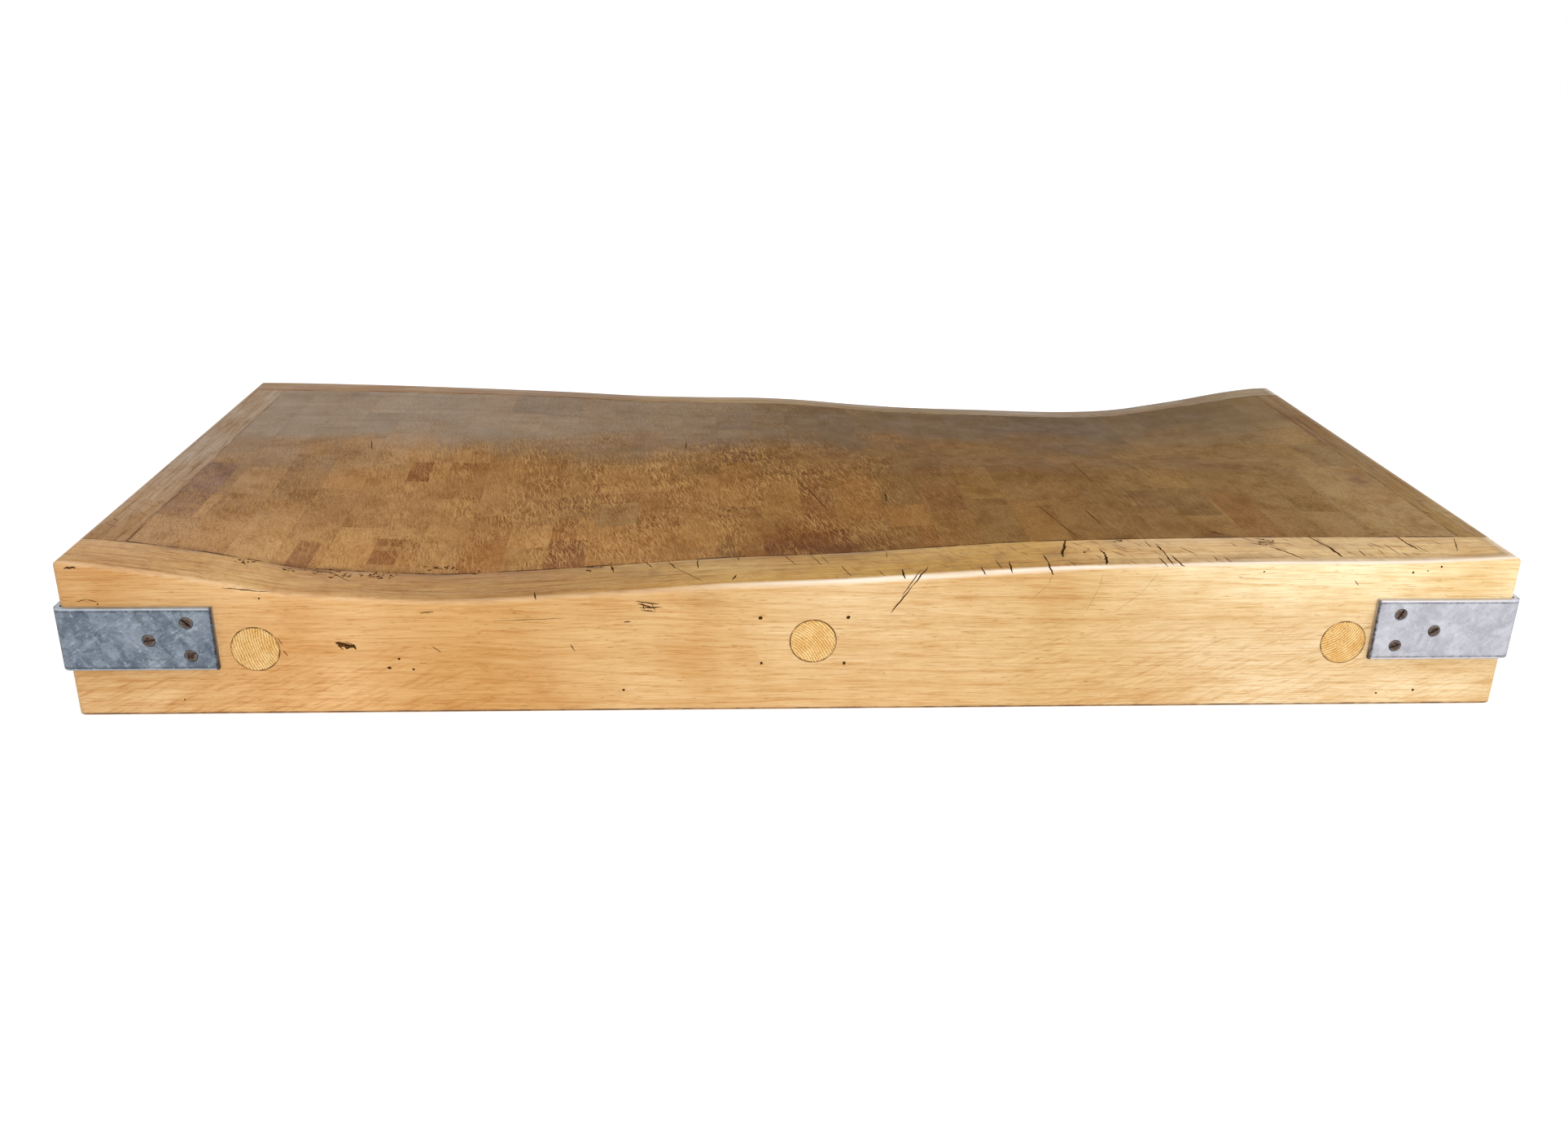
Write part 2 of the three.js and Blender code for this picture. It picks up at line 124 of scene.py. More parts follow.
def slope_at(points, index):
    if index in (0, len(points) - 1):
        return 0
    before, here, after = points[index - 1:index + 2]
    turns = (here[1] - before[1]) * (after[1] - here[1]) <= 0
    return 0 if turns else (after[1] - before[1]) / (after[0] - before[0])


def curve_at(points, place):
    """A smooth curve through (place, value) points, as in the solids."""
    if place <= points[0][0]:
        return points[0][1]
    if place >= points[-1][0]:
        return points[-1][1]
    after = next(i for i, point in enumerate(points) if point[0] > place)
    (x0, y0), (x1, y1) = points[after - 1], points[after]
    width = x1 - x0
    t = (place - x0) / width
    start = slope_at(points, after - 1) * width
    end = slope_at(points, after) * width
    rise = t * t * (3 - 2 * t)
    return y0 + (y1 - y0) * rise + start * t * (1 - t) ** 2 - end * t * t * (1 - t)


def edge_fall(distance, radius):
    """How far a rounded edge falls back at a distance in from the face."""
    if distance >= radius:
        return 0
    return radius - math.sqrt(radius ** 2 - (radius - distance) ** 2)


def distance_inside(x, y):
    to_end = HALF_LENGTH - abs(x)
    to_face = HALF_DEPTH - abs(y) - edge_fall(max(0, to_end), CORNER_RADIUS)
    return max(0, min(to_end, to_face))


def wear_at(x, y):
    """Depths worn from the front hollow and from the back one."""
    along = (x + HALF_LENGTH) / LENGTH
    across = (y + HALF_DEPTH) / DEPTH
    front = FRONT_HOLLOW_DEPTH * curve_at(FRONT_HOLLOW_SHARES, along) * curve_at(REACH_SHARES, across)
    back = BACK_HOLLOW_DEPTH * curve_at(BACK_HOLLOW_SHARES, along) * curve_at(REACH_SHARES, 1 - across)
    return front, back


def top_at(x, y):
    """Height of the worn chopping face."""
    along = (x + HALF_LENGTH) / LENGTH
    front, back = wear_at(x, y)
    in_front = max(0, (CORE_FRONT - y) / FRONT_RAIL)
    in_back = max(0, (y - CORE_BACK) / BACK_RAIL)
    dropped = FRONT_EDGE_DROP * curve_at(FRONT_EDGE_SHARES, along) * in_front ** 2
    dropped += BACK_EDGE_DROP * curve_at(BACK_EDGE_SHARES, along) * in_back ** 2
    return BLOCK_HEIGHT - front - back - dropped - edge_fall(distance_inside(x, y), ARRIS_RADIUS)


def bottom_at(x, y):
    return max(0, BOTTOM_CHAMFER - distance_inside(x, y))


def plan_y(x, y):
    """A rail's plan narrows at the block's rounded upright corners."""
    inset = edge_fall(max(0, HALF_LENGTH - abs(x)), CORNER_RADIUS)
    if y < CORE_FRONT:
        return CORE_FRONT - (CORE_FRONT - y) * (1 - inset / FRONT_RAIL)
    if y > CORE_BACK:
        return CORE_BACK + (y - CORE_BACK) * (1 - inset / BACK_RAIL)
    return y


def even(start, end, steps):
    return [start + (end - start) * step / steps for step in range(steps + 1)]


def blend(start, end, share):
    return tuple(a + (b - a) * share for a, b in zip(start, end))


def smooth_step(value, low, high):
    t = min(1, max(0, (value - low) / (high - low)))
    return t * t * (3 - 2 * t)


# Meshes

def new_mesh(name, points, faces):
    mesh = bpy.data.meshes.new(name)
    mesh.from_pydata([tuple(point) for point in points], [], faces)
    work = bmesh.new()
    work.from_mesh(mesh)
    bmesh.ops.recalc_face_normals(work, faces=work.faces)
    work.to_mesh(mesh)
    work.free()
    return mesh


def lofted(rings):
    """Points and faces of a closed tube through rings of points, with a cap at each end."""
    count = len(rings[0])
    points = [point for ring in rings for point in ring]
    faces = []
    for ring in range(len(rings) - 1):
        for step in range(count):
            here = ring * count + step
            beside = ring * count + (step + 1) % count
            faces.append((here, beside, beside + count, here + count))
    faces.append(tuple(range(count))[::-1])
    faces.append(tuple(range((len(rings) - 1) * count, len(rings) * count)))
    return points, faces


SHARP_ANGLE = 32


def shade(mesh):
    mesh.shade_smooth()
    mesh.set_sharp_from_angle(angle=math.radians(SHARP_ANGLE))


def linked(name, data):
    """A new object in the scene."""
    made = bpy.data.objects.new(name, data)
    bpy.context.scene.collection.objects.link(made)
    return made


def give(mesh, materials):
    """Sets a mesh's materials. A cut can leave empty slots, and these are filled first."""
    for index, material in enumerate(materials):
        if index < len(mesh.materials):
            mesh.materials[index] = material
        else:
            mesh.materials.append(material)


def add_piece(name, mesh, materials, node):
    """Puts a finished mesh in the scene, in place of the solid that it stands for."""
    piece = linked(name, mesh)
    give(mesh, materials)
    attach(piece, BODY)
    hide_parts(node)


# Boards of the frame

RAIL_STEPS = 200
RAIL_TOP_STEPS = 8
RAIL_FACE_STEPS = 14
EDGE_STEPS = 6
JOINT_EDGE = 1.8 * MM
JOINT_DARK = 0.9 * MM
JOINT_DROP = 0.4 * MM
RAIL_FOOT_PLACES = (1 * MM, 2.5 * MM)
END_STEPS = 7
END_CELLS = 64
END_FACE_STEPS = 12


def edge_places(radius):
    """Distances in from a face, closer together where its edge is rounder."""
    return [radius * (1 - math.cos(step / EDGE_STEPS * math.pi / 2)) for step in range(EDGE_STEPS + 1)]


def rail_ring(x, side, inner_y):
    """One cross-section of a rail. Its outer face is at side times half the depth."""
    outer = side * HALF_DEPTH
    top_places = [outer - side * place for place in edge_places(ARRIS_RADIUS)]
    last = inner_y + side * JOINT_EDGE
    top_places += even(top_places[-1], last, RAIL_TOP_STEPS)[1:]
    ring = []
    for y in (inner_y, outer - side * BOTTOM_CHAMFER):
        in_plan = plan_y(x, y)
        ring.append((x, in_plan, bottom_at(x, in_plan)))
    face_y = plan_y(x, outer)
    low = bottom_at(x, face_y)
    high = top_at(x, face_y)
    ring += [(x, face_y, low), (x, face_y, low + RAIL_FOOT_PLACES[0])]
    for z in even(low + RAIL_FOOT_PLACES[1], high, RAIL_FACE_STEPS)[:-1]:
        ring.append((x, face_y, z))
    for y in top_places:
        in_plan = plan_y(x, y)
        ring.append((x, in_plan, top_at(x, in_plan)))
    dark_y = inner_y + side * JOINT_DARK
    ring.append((x, dark_y, top_at(x, dark_y) - JOINT_DROP / 3))
    ring.append((x, inner_y, top_at(x, inner_y) - JOINT_DROP))
    return ring


def rail_stations():
    ends = edge_places(CORNER_RADIUS)
    left = [place - HALF_LENGTH for place in ends[:-1]]
    right = [HALF_LENGTH - place for place in ends[:-1]][::-1]
    return left + even(ends[-1] - HALF_LENGTH, HALF_LENGTH - ends[-1], RAIL_STEPS) + right


def rail_mesh(name, side):
    inner_y = CORE_FRONT if side < 0 else CORE_BACK
    rings = [rail_ring(x, side, inner_y) for x in rail_stations()]
    return new_mesh(name, *lofted(rings))


def end_board_mesh(name, side):
    """An end board, lofted from front to back, with its outer face at side times half the length."""
    inner = CORE_LEFT if side < 0 else CORE_RIGHT
    outer = side * HALF_LENGTH
    near = inner + side * JOINT_EDGE
    rings = []
    for y in even(CORE_FRONT, CORE_BACK, END_CELLS):
        ring = [(inner, y, 0), (outer - side * BOTTOM_CHAMFER, y, 0)]
        for z in even(BOTTOM_CHAMFER, top_at(outer, y), END_FACE_STEPS)[:-1]:
            ring.append((outer, y, z))
        places = [outer - side * place for place in edge_places(ARRIS_RADIUS)]
        places += even(places[-1], near, END_STEPS)[1:]
        ring += [(x, y, top_at(x, y)) for x in places]
        dark_x = inner + side * JOINT_DARK
        ring.append((dark_x, y, top_at(dark_x, y) - JOINT_DROP / 3))
        ring.append((inner, y, top_at(inner, y) - JOINT_DROP))
        rings.append(ring)
    return new_mesh(name, *lofted(rings))


# The core's staves. Those that stand out have named tones, and the others are drawn at random.

GREY_BROWN = (0.80, 0.76, 0.84)
PURPLE_BROWN = (0.60, 0.49, 0.52)
RED_BROWN = (0.92, 0.78, 0.66)
DEEP_RED = (0.60, 0.45, 0.40)
DARK_BROWN = (0.80, 0.72, 0.64)
MILD_BROWN = (0.90, 0.84, 0.78)
GREY_GREEN = (0.92, 1.04, 1.24)
PALE = (1.16, 1.2, 1.2)
PLAIN = (1.02, 0.99, 0.9)
# A painted bluish sheen, given to staves at the left side of the core
DUSKY_SHEEN = (0.70, 0.72, 1.0)
CHOPPED = (0.82, 0.70, 0.60)
BURNT = (0.66, 0.46, 0.33)

# Staves that stand out: the layer from the left, where it starts and ends from the front face, its tone,
# and how much of the layer's width it takes, from where
MARKED_STAVES = (
    (0, 110, 166, GREY_BROWN, 0, 0.76), (0, 168, 240, DUSKY_SHEEN, 0, 0.76), (1, 48, 172, PLAIN, 0, 1),
    (1, 172, 236, PALE, 0, 1), (2, 48, 170, PALE, 0, 1), (3, 48, 96, PURPLE_BROWN, 0.3, 0.78),
    (4, 48, 130, PALE, 0, 1), (5, 62, 87, DEEP_RED, 0, 0.6), (5, 95, 109, DEEP_RED, 0, 0.62),
    (5, 226, 261, DEEP_RED, 0, 0.55), (6, 194, 261, DARK_BROWN, 0, 1), (7, 48, 158, CHOPPED, 0, 1),
    (9, 48, 100, PURPLE_BROWN, 0, 0.9), (9, 100, 147, CHOPPED, 0, 0.6), (10, 126, 175, GREY_GREEN, 0, 1),
    (10, 175, 195, DARK_BROWN, 0, 1), (11, 48, 196, MILD_BROWN, 0, 1), (13, 48, 80, MILD_BROWN, 0.3, 1),
    (13, 261, 290, PURPLE_BROWN, 0.1, 1), (13, 290, 342, GREY_BROWN, 0, 1), (13, 374, 449, GREY_BROWN, 0, 1),
    (14, 48, 92, BURNT, 0, 1), (14, 92, 125, MILD_BROWN, 0.3, 1), (15, 48, 97, BURNT, 0, 1),
    (15, 97, 235, CHOPPED, 0, 0.8), (17, 50, 95, RED_BROWN, 0.6, 1), (18, 125, 187, CHOPPED, 0.1, 1),
    (19, 150, 240, PALE, 0.1, 1), (23, 119, 163, GREY_BROWN, 0.15, 1), (25, 48, 154, RED_BROWN, 0.1, 1),
    (27, 107, 208, MILD_BROWN, 0.3, 1), (28, 56, 229, PALE, 0.15, 1),
)


def drawn_tone(draw):
    """A random tone for a plain stave, as a multiplier of the core's brown."""
    lightness = draw.gauss(1, 0.08)
    warmth = draw.gauss(0, 0.018)
    return (lightness * (1 + warmth), lightness, lightness * (1 - 1.6 * warmth))


def plain_staves(start, end, draw):
    """Fills a stretch of one layer with staves of random length."""
    staves = []
    place = start
    while end - place > STAVE_LONGEST:
        length = draw.uniform(STAVE_SHORTEST, STAVE_LONGEST - STAVE_SHORTEST / 2)
        staves.append((place, place + length, drawn_tone(draw), 0, 1))
        place += length
    if end - place > STAVE_SLIVER:
        staves.append((place, end, drawn_tone(draw), 0, 1))
    return staves


def layer_staves(layer, draw):
    staves = []
    place = CORE_FRONT
    for marked, start, end, tone, left, right in MARKED_STAVES:
        if marked != layer:
            continue
        first = max(CORE_FRONT, start * MM - HALF_DEPTH)
        last = end * MM - HALF_DEPTH
        if first - place > STAVE_SLACK:
            staves += plain_staves(place, first, draw)
        else:
            first = place
        beside = drawn_tone(draw)
        if left > 0:
            staves.append((first, last, beside, 0, left))
        staves.append((first, last, tone, left, right))
        if right < 1:
            staves.append((first, last, beside, right, 1))
        place = last
    return staves + plain_staves(place, CORE_BACK, draw)


def all_staves():
    draw = random.Random(STAVE_SEED)
    staves = []
    for layer in range(LAYER_COUNT):
        for start, end, tone, first_share, last_share in layer_staves(layer, draw):
            left = CORE_LEFT + layer * LAYER
            pith = tuple(draw.uniform(-reach, reach) for reach in PITH_REACH)
            staves.append({
                "left": left + first_share * LAYER, "right": left + last_share * LAYER,
                "front": start, "back": end, "tone": tone, "seed": draw.random(), "pith": pith,
            })
    return staves


def at_border(x, y):
    """Whether a point of the core lies against a board."""
    return min(x - CORE_LEFT, CORE_RIGHT - x, y - CORE_FRONT, CORE_BACK - y) < STAVE_GAP


def edge_drop(x, y, sides, ends):
    if x not in sides and y not in ends:
        return 0
    return BORDER_DROP if at_border(x, y) else STAVE_EDGE_DROP


def stave_lines(start, end):
    """Places across a stave, with an eased edge at both ends."""
    cells = max(2, round((end - start) / STAVE_CELL))
    inner = even(start + STAVE_RIM, end - STAVE_RIM, cells)
    return [start, start + STAVE_EDGE, *inner, end - STAVE_EDGE, end]


def stave_mesh_parts(stave):
    """Points and faces of one upright stave with eased top edges."""
    left = stave["left"] + STAVE_GAP / 2
    right = stave["right"] - STAVE_GAP / 2
    front = stave["front"] + STAVE_GAP / 2
    back = stave["back"] - STAVE_GAP / 2
    xs = stave_lines(left, right)
    ys = stave_lines(front, back)
    points = []
    for y in ys:
        for x in xs:
            points.append((x, y, top_at(x, y) - edge_drop(x, y, (left, right), (front, back))))
    count = len(xs)
    faces = []
    for j in range(len(ys) - 1):
        for i in range(count - 1):
            a = j * count + i
            faces.append((a, a + 1, a + count + 1, a + count))
    last = len(ys) - 1
    rim = list(range(count))
    rim += [j * count + count - 1 for j in range(1, last + 1)]
    rim += [last * count + i for i in range(count - 2, -1, -1)]
    rim += [j * count for j in range(last - 1, 0, -1)]
    low = len(points)
    points += [(points[i][0], points[i][1], 0) for i in rim]
    for step, here in enumerate(rim):
        after = (step + 1) % len(rim)
        faces.append((here, rim[after], low + after, low + step))
    faces.append(tuple(range(low, low + len(rim))))
    return points, faces


def joined_mesh(name, meshes):
    """One mesh with all the shells of several."""
    work = bmesh.new()
    for mesh in meshes:
        work.from_mesh(mesh)
    joined = bpy.data.meshes.new(name)
    work.to_mesh(joined)
    work.free()
    return joined


# Camera

CAMERA_CLIP = (0.02, 60)


def camera_axes():
    sin_yaw, cos_yaw = math.sin(CAMERA_YAW), math.cos(CAMERA_YAW)
    sin_pitch, cos_pitch = math.sin(CAMERA_PITCH), math.cos(CAMERA_PITCH)
    level = Vector((cos_yaw, -sin_yaw, 0))
    up = Vector((sin_yaw * sin_pitch, cos_yaw * sin_pitch, cos_pitch))
    ahead = Vector((sin_yaw * cos_pitch, cos_yaw * cos_pitch, -sin_pitch))
    sin_roll, cos_roll = math.sin(CAMERA_ROLL), math.cos(CAMERA_ROLL)
    return cos_roll * level - sin_roll * up, sin_roll * level + cos_roll * up, ahead


def add_camera():
    right, up, ahead = camera_axes()
    data = bpy.data.cameras.new("photo_camera")
    data.sensor_fit = "HORIZONTAL"
    data.sensor_width = SENSOR_WIDTH
    data.lens = FOCAL_PIXELS / PHOTO_WIDTH * SENSOR_WIDTH
    data.clip_start, data.clip_end = CAMERA_CLIP
    camera = linked("photo_camera", data)
    turn = Matrix((right, up, -ahead)).transposed()
    camera.matrix_world = Matrix.Translation(CAMERA_PLACE) @ turn.to_4x4()
    bpy.context.scene.camera = camera


def sight_line(pixel):
    """Direction from the camera through a pixel of the photograph."""
    right, up, ahead = camera_axes()
    across = (pixel[0] - PHOTO_WIDTH / 2) / FOCAL_PIXELS
    down = (pixel[1] - PHOTO_HEIGHT / 2) / FOCAL_PIXELS
    return (ahead + across * right - down * up).normalized()


# Splits, knife cuts and nicks, each a thin wedge taken out of the wood.
# Each runs from pixel to pixel of the photograph, with its width and depth in millimetres.

RAIL_TOP_CUTS = (
    (1008, 682, 1018, 692, 0.7, 0.8), (1033, 694, 1046, 708, 0.8, 1), (1079, 701, 1087, 707, 0.7, 0.8),
    (1089, 678, 1089, 685, 0.6, 0.7), (1108, 699, 1112, 711, 1.5, 2), (1205, 696, 1211, 706, 1.1, 1.5),
    (1222, 687, 1231, 698, 0.8, 1), (1239, 689, 1244, 704, 1.3, 2), (1281, 681, 1288, 690, 1.3, 1.8),
    (1287, 689, 1294, 706, 1.6, 2.2), (1308, 663, 1305, 684, 2.4, 1.6), (1350, 674, 1359, 682, 1.5, 1.8),
    (1358, 681, 1359, 693, 2.2, 2), (1405, 664, 1416, 673, 0.9, 1), (1419, 668, 1432, 680, 1.5, 2),
    (1430, 679, 1442, 694, 1.3, 1.8), (1423, 684, 1435, 696, 1.1, 1.5), (1437, 681, 1455, 696, 1.4, 2),
    (1450, 672, 1467, 680, 1.1, 1.2), (1491, 683, 1496, 689, 0.8, 1), (1503, 683, 1512, 690, 0.8, 1),
    (1512, 667, 1520, 671, 0.9, 1), (1541, 661, 1561, 664, 1.4, 1.4), (1537, 667, 1558, 670, 1.1, 1.2),
    (1559, 671, 1584, 679, 1.6, 1.2), (1575, 676, 1601, 686, 1.5, 1.2), (1606, 659, 1628, 669, 1.8, 2),
    (1626, 668, 1650, 684, 2.4, 2.2), (1668, 675, 1678, 683, 1, 1), (1692, 675, 1700, 680, 0.9, 1),
    (1700, 668, 1720, 681, 0.9, 1.2), (1713, 657, 1728, 667, 1.6, 2), (1726, 666, 1743, 675, 2.3, 2),
    (1736, 669, 1757, 679, 0.9, 1), (1786, 661, 1790, 677, 0.9, 1), (821, 690, 831, 698, 1.3, 1.2),
    (829, 697, 864, 714, 0.7, 0.8), (856, 687, 858, 698, 1, 1), (899, 712, 905, 706, 1.6, 1.6),
    (906, 684, 908, 688, 1, 1), (718, 697, 743, 697, 1.3, 1.2), (750, 694, 754, 703, 1.2, 1),
    (793, 690, 801, 697, 1, 1), (656, 727, 658, 737, 1.2, 1.2), (962, 681, 977, 693, 0.8, 0.6),
    (995, 681, 1010, 694, 0.8, 0.6), (78, 698, 93, 696, 1.8, 1.4), (60, 700, 72, 697, 1, 1),
    (272, 722, 330, 727, 0.9, 1), (383, 700, 412, 704, 1.4, 1.6), (404, 702, 430, 714, 0.9, 1),
)
FACE_CUTS = (
    (1140, 696, 1122, 718, 1.5, 3.2), (1122, 718, 1094, 753, 1.2, 2.8), (1131, 700, 1108, 732, 0.9, 1.6),
    (604, 763, 695, 759, 0.5, 0.4), (701, 791, 706, 800, 0.8, 0.8), (530, 793, 542, 801, 0.7, 0.7),
    (515, 753, 533, 751, 0.8, 0.8), (766, 764, 775, 763, 0.9, 0.9), (412, 789, 438, 796, 4.2, 2),
    (424, 788, 438, 794, 0.9, 1), (414, 791, 422, 798, 0.9, 1), (1664, 713, 1669, 719, 0.7, 0.7),
    (781, 738, 810, 742, 1.0, 0.8), (783, 741, 800, 745, 1.2, 0.8), (785, 746, 813, 746, 1.2, 0.8),
    (1293, 705, 1288, 718, 0.2, 0.3), (1288, 718, 1262, 740, 0.2, 0.3), (1355, 704, 1350, 722, 0.2, 0.3),
    (1350, 722, 1334, 751, 0.2, 0.3), (1423, 704, 1402, 728, 0.2, 0.3), (1402, 728, 1370, 751, 0.2, 0.3),
    (94, 739, 106, 736, 0.6, 0.6), (106, 736, 119, 739, 0.6, 0.6), (341, 784, 347, 792, 0.7, 0.7),
    (347, 798, 354, 806, 0.7, 0.7), (787, 749, 806, 751, 0.9, 0.7), (788, 739, 792, 750, 0.7, 0.6),
    (800, 740, 805, 750, 0.7, 0.6),
)
CORE_CUTS = (
    (1274, 620, 1300, 641, 0.9, 1.2), (1298, 640, 1325, 660, 1, 1.4), (1332, 626, 1352, 643, 1.1, 1.4),
    (1313, 565, 1350, 599, 0.7, 1), (1087, 605, 1089, 616, 1.6, 1.4), (1263, 623, 1298, 621, 1, 0.8),
    (1301, 616, 1316, 614, 0.7, 0.8), (843, 543, 842, 552, 1, 1), (456, 541, 457, 552, 1, 0.8),
    (978, 587, 992, 604, 0.9, 0.8), (990, 598, 1018, 628, 0.9, 0.8), (1204, 532, 1235, 536, 0.8, 0.8),
    (1484, 652, 1504, 657, 2.4, 1.6), (1595, 545, 1622, 541, 0.7, 0.8), (1588, 512, 1617, 531, 0.8, 1),
)

# Nail holes, knots and nicks: a pixel, a radius and a depth in millimetres
PITS = (
    (934, 759, 1.7, 1.5), (1042, 758, 1.7, 1.5), (935, 814, 1.3, 1.2), (1037, 814, 1.5, 1.2),
    (490, 809, 1.1, 1), (478, 820, 1.6, 1.2), (508, 822, 1, 0.9), (766, 847, 1.1, 1), (1736, 703, 1, 0.8),
    (1754, 701, 0.6, 0.5), (1771, 696, 0.9, 0.8), (1553, 702, 0.8, 0.7), (227, 859, 0.7, 0.6),
    (1332, 678, 1.3, 1), (1337, 674, 0.8, 0.8), (1690, 851, 1, 0.9), (1735, 847, 1.2, 1), (885, 634, 1.4, 1),
    (120, 742, 0.8, 0.8), (318, 735, 0.9, 0.8),
)

# Ragged filled breaks along the joint at the front: from pixel to pixel, how many, and how far they stray
RAGGED = (
    (281, 687, 316, 692, 9, 3), (330, 696, 378, 702, 7, 2), (383, 702, 430, 708, 18, 4),
    (439, 706, 486, 707, 26, 4), (518, 699, 560, 697, 16, 3), (575, 706, 600, 704, 4, 3),
    (716, 698, 754, 696, 8, 3), (1362, 664, 1376, 665, 4, 2), (1537, 663, 1562, 666, 9, 4),
)
RAGGED_TURN = 0.6
RAGGED_REACHES = (2, 7)
RAGGED_WIDTHS = (1.1, 2.6)
RAGGED_DEPTHS = (0.9, 1.8)
CUT_STEPS = 7
CUT_LIFT = 0.6 * MM
CUT_SEED = 7
TOO_MUCH_SHARE = 1.5
PIT_SIDES = 7
PIT_RINGS = ((1.35, None), (1, 0), (0.72, -0.6), (0.3, -1))


def ground(tree, pixel):
    """The point and the way up of the wood that the photograph shows at a pixel."""
    place, normal, _, _ = tree.ray_cast(CAMERA_PLACE, sight_line(pixel))
    return place, normal


def wedge_mesh(stations, width, depth, draw):
    """A long thin wedge along (place, way up) stations, pointed at both ends."""
    rings = []
    last = len(stations) - 1
    for index, (place, up) in enumerate(stations):
        before = stations[max(0, index - 1)][0]
        after = stations[min(last, index + 1)][0]
        side = (after - before).cross(up).normalized()
        swell = max(0.1, math.sin(math.pi * (index + 0.25) / (last + 0.5)) ** 0.6)
        swell *= draw.uniform(0.75, 1.15)
        half = width / 2 * swell * (1 + CUT_LIFT / (depth * swell))
        middle = place + side * draw.gauss(0, width * 0.18)
        rings.append([middle + side * half + up * CUT_LIFT, middle - side * half + up * CUT_LIFT,
                      middle - up * depth * swell])
    return new_mesh("wedge", *lofted(rings))


def pit_mesh(place, up, radius, depth, draw):
    """A small rough pit with a wide mouth."""
    side = up.orthogonal().normalized()
    other = up.cross(side)
    rings = []
    for share, sunk_share in PIT_RINGS:
        level = CUT_LIFT if sunk_share is None else sunk_share * depth
        ring = []
        for step in range(PIT_SIDES):
            angle = 2 * math.pi * step / PIT_SIDES
            reach = radius * share * draw.uniform(0.75, 1.2)
            ring.append(place + reach * (math.cos(angle) * side + math.sin(angle) * other) + up * level)
        rings.append(ring)
    return new_mesh("pit", *lofted(rings))


def all_cutters(tree):
    draw = random.Random(CUT_SEED)
    cutters = []

    def add_cut(start, end, width, depth):
        stations = []
        for share in even(0, 1, CUT_STEPS):
            place, up = ground(tree, blend(start, end, share))
            if place is None:
                return
            stations.append((place, up))
        cutters.append(wedge_mesh(stations, width * MM, depth * MM, draw))

    for x0, y0, x1, y1, width, depth in RAIL_TOP_CUTS + FACE_CUTS + CORE_CUTS:
        add_cut((x0, y0), (x1, y1), width, depth)
    for x0, y0, x1, y1, count, stray in RAGGED:
        for _ in range(count):
            x, y = blend((x0, y0), (x1, y1), draw.random())
            y += draw.gauss(0, stray / 2)
            turn = draw.uniform(-RAGGED_TURN, RAGGED_TURN)
            reach = draw.uniform(*RAGGED_REACHES)
            far = (x + reach * math.cos(turn), y + reach * math.sin(turn) * 0.6)
            add_cut((x, y), far, draw.uniform(*RAGGED_WIDTHS), draw.uniform(*RAGGED_DEPTHS))
    for x, y, radius, depth in PITS:
        place, up = ground(tree, (x, y))
        if place is not None:
            cutters.append(pit_mesh(place, up, radius * MM, depth * MM, draw))
    return cutters


def mesh_box(mesh):
    points = [vertex.co for vertex in mesh.vertices]
    low = Vector(min(point[axis] for point in points) for axis in range(3))
    high = Vector(max(point[axis] for point in points) for axis in range(3))
    return low, high


def boxes_meet(first, second):
    return all(first[0][i] < second[1][i] and second[0][i] < first[1][i] for i in range(3))


def reaching(mesh, cutters):
    own_box = mesh_box(mesh)
    return [cutter for cutter in cutters if boxes_meet(own_box, mesh_box(cutter))]


def difference(mesh, tools, solver="MANIFOLD"):
    """A mesh with the tool meshes taken out of it."""
    piece = linked("worked", mesh)
    helpers = [linked("tool", tool) for tool in tools]
    for helper in helpers:
        cut = piece.modifiers.new("cut", "BOOLEAN")
        cut.operation = "DIFFERENCE"
        cut.solver = solver
        cut.object = helper
    graph = bpy.context.evaluated_depsgraph_get()
    made = bpy.data.meshes.new_from_object(piece.evaluated_get(graph))
    for used in [piece, *helpers]:
        bpy.data.objects.remove(used)
    return made


def carved(mesh, cutters, materials, solver):
    """A mesh with the cutters that reach it taken out. Their faces get the second material."""
    tools = [cutter.copy() for cutter in reaching(mesh, cutters)]
    if not tools:
        return mesh
    for used in (mesh, *tools):
        give(used, materials)
    for tool in tools:
        tool.polygons.foreach_set("material_index", [1] * len(tool.polygons))
    return difference(mesh, tools, solver)


def volume_of(mesh):
    work = bmesh.new()
    work.from_mesh(mesh)
    volume = work.calc_volume()
    work.free()
    return volume


def carved_one_by_one(mesh, cutters, materials):
    """As above for a small piece, leaving out a cutter that would take far more than itself."""
    for cutter in reaching(mesh, cutters):
        made = carved(mesh, [cutter], materials, "EXACT")
        if volume_of(made) > volume_of(mesh) - TOO_MUCH_SHARE * volume_of(cutter):
            mesh = made
    return mesh


# Steel

STRAP_LOW, STRAP_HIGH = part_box("corner_strap_front_left")
STRAP_BEND = 3 * MM
STRAP_GAP = 0.3 * MM
STRAP_THICKNESS = -HALF_DEPTH - STRAP_LOW.y - STRAP_GAP
STRAP_REACH = STRAP_HIGH.x + HALF_LENGTH
STRAP_EASE = 0.7 * MM
STRAP_LINE_PLACES = [place * MM for place in (0.7, 1.5, 2.1, 2.8, 3.4)]
STRAP_LINE_INSET = 4.2 * MM
STRAP_END_PLACES = (0.8 * MM, 2.4 * MM)
LEG_STEPS = 14
STRAP_RISE_STEPS = 8
BEND_STEPS = 8


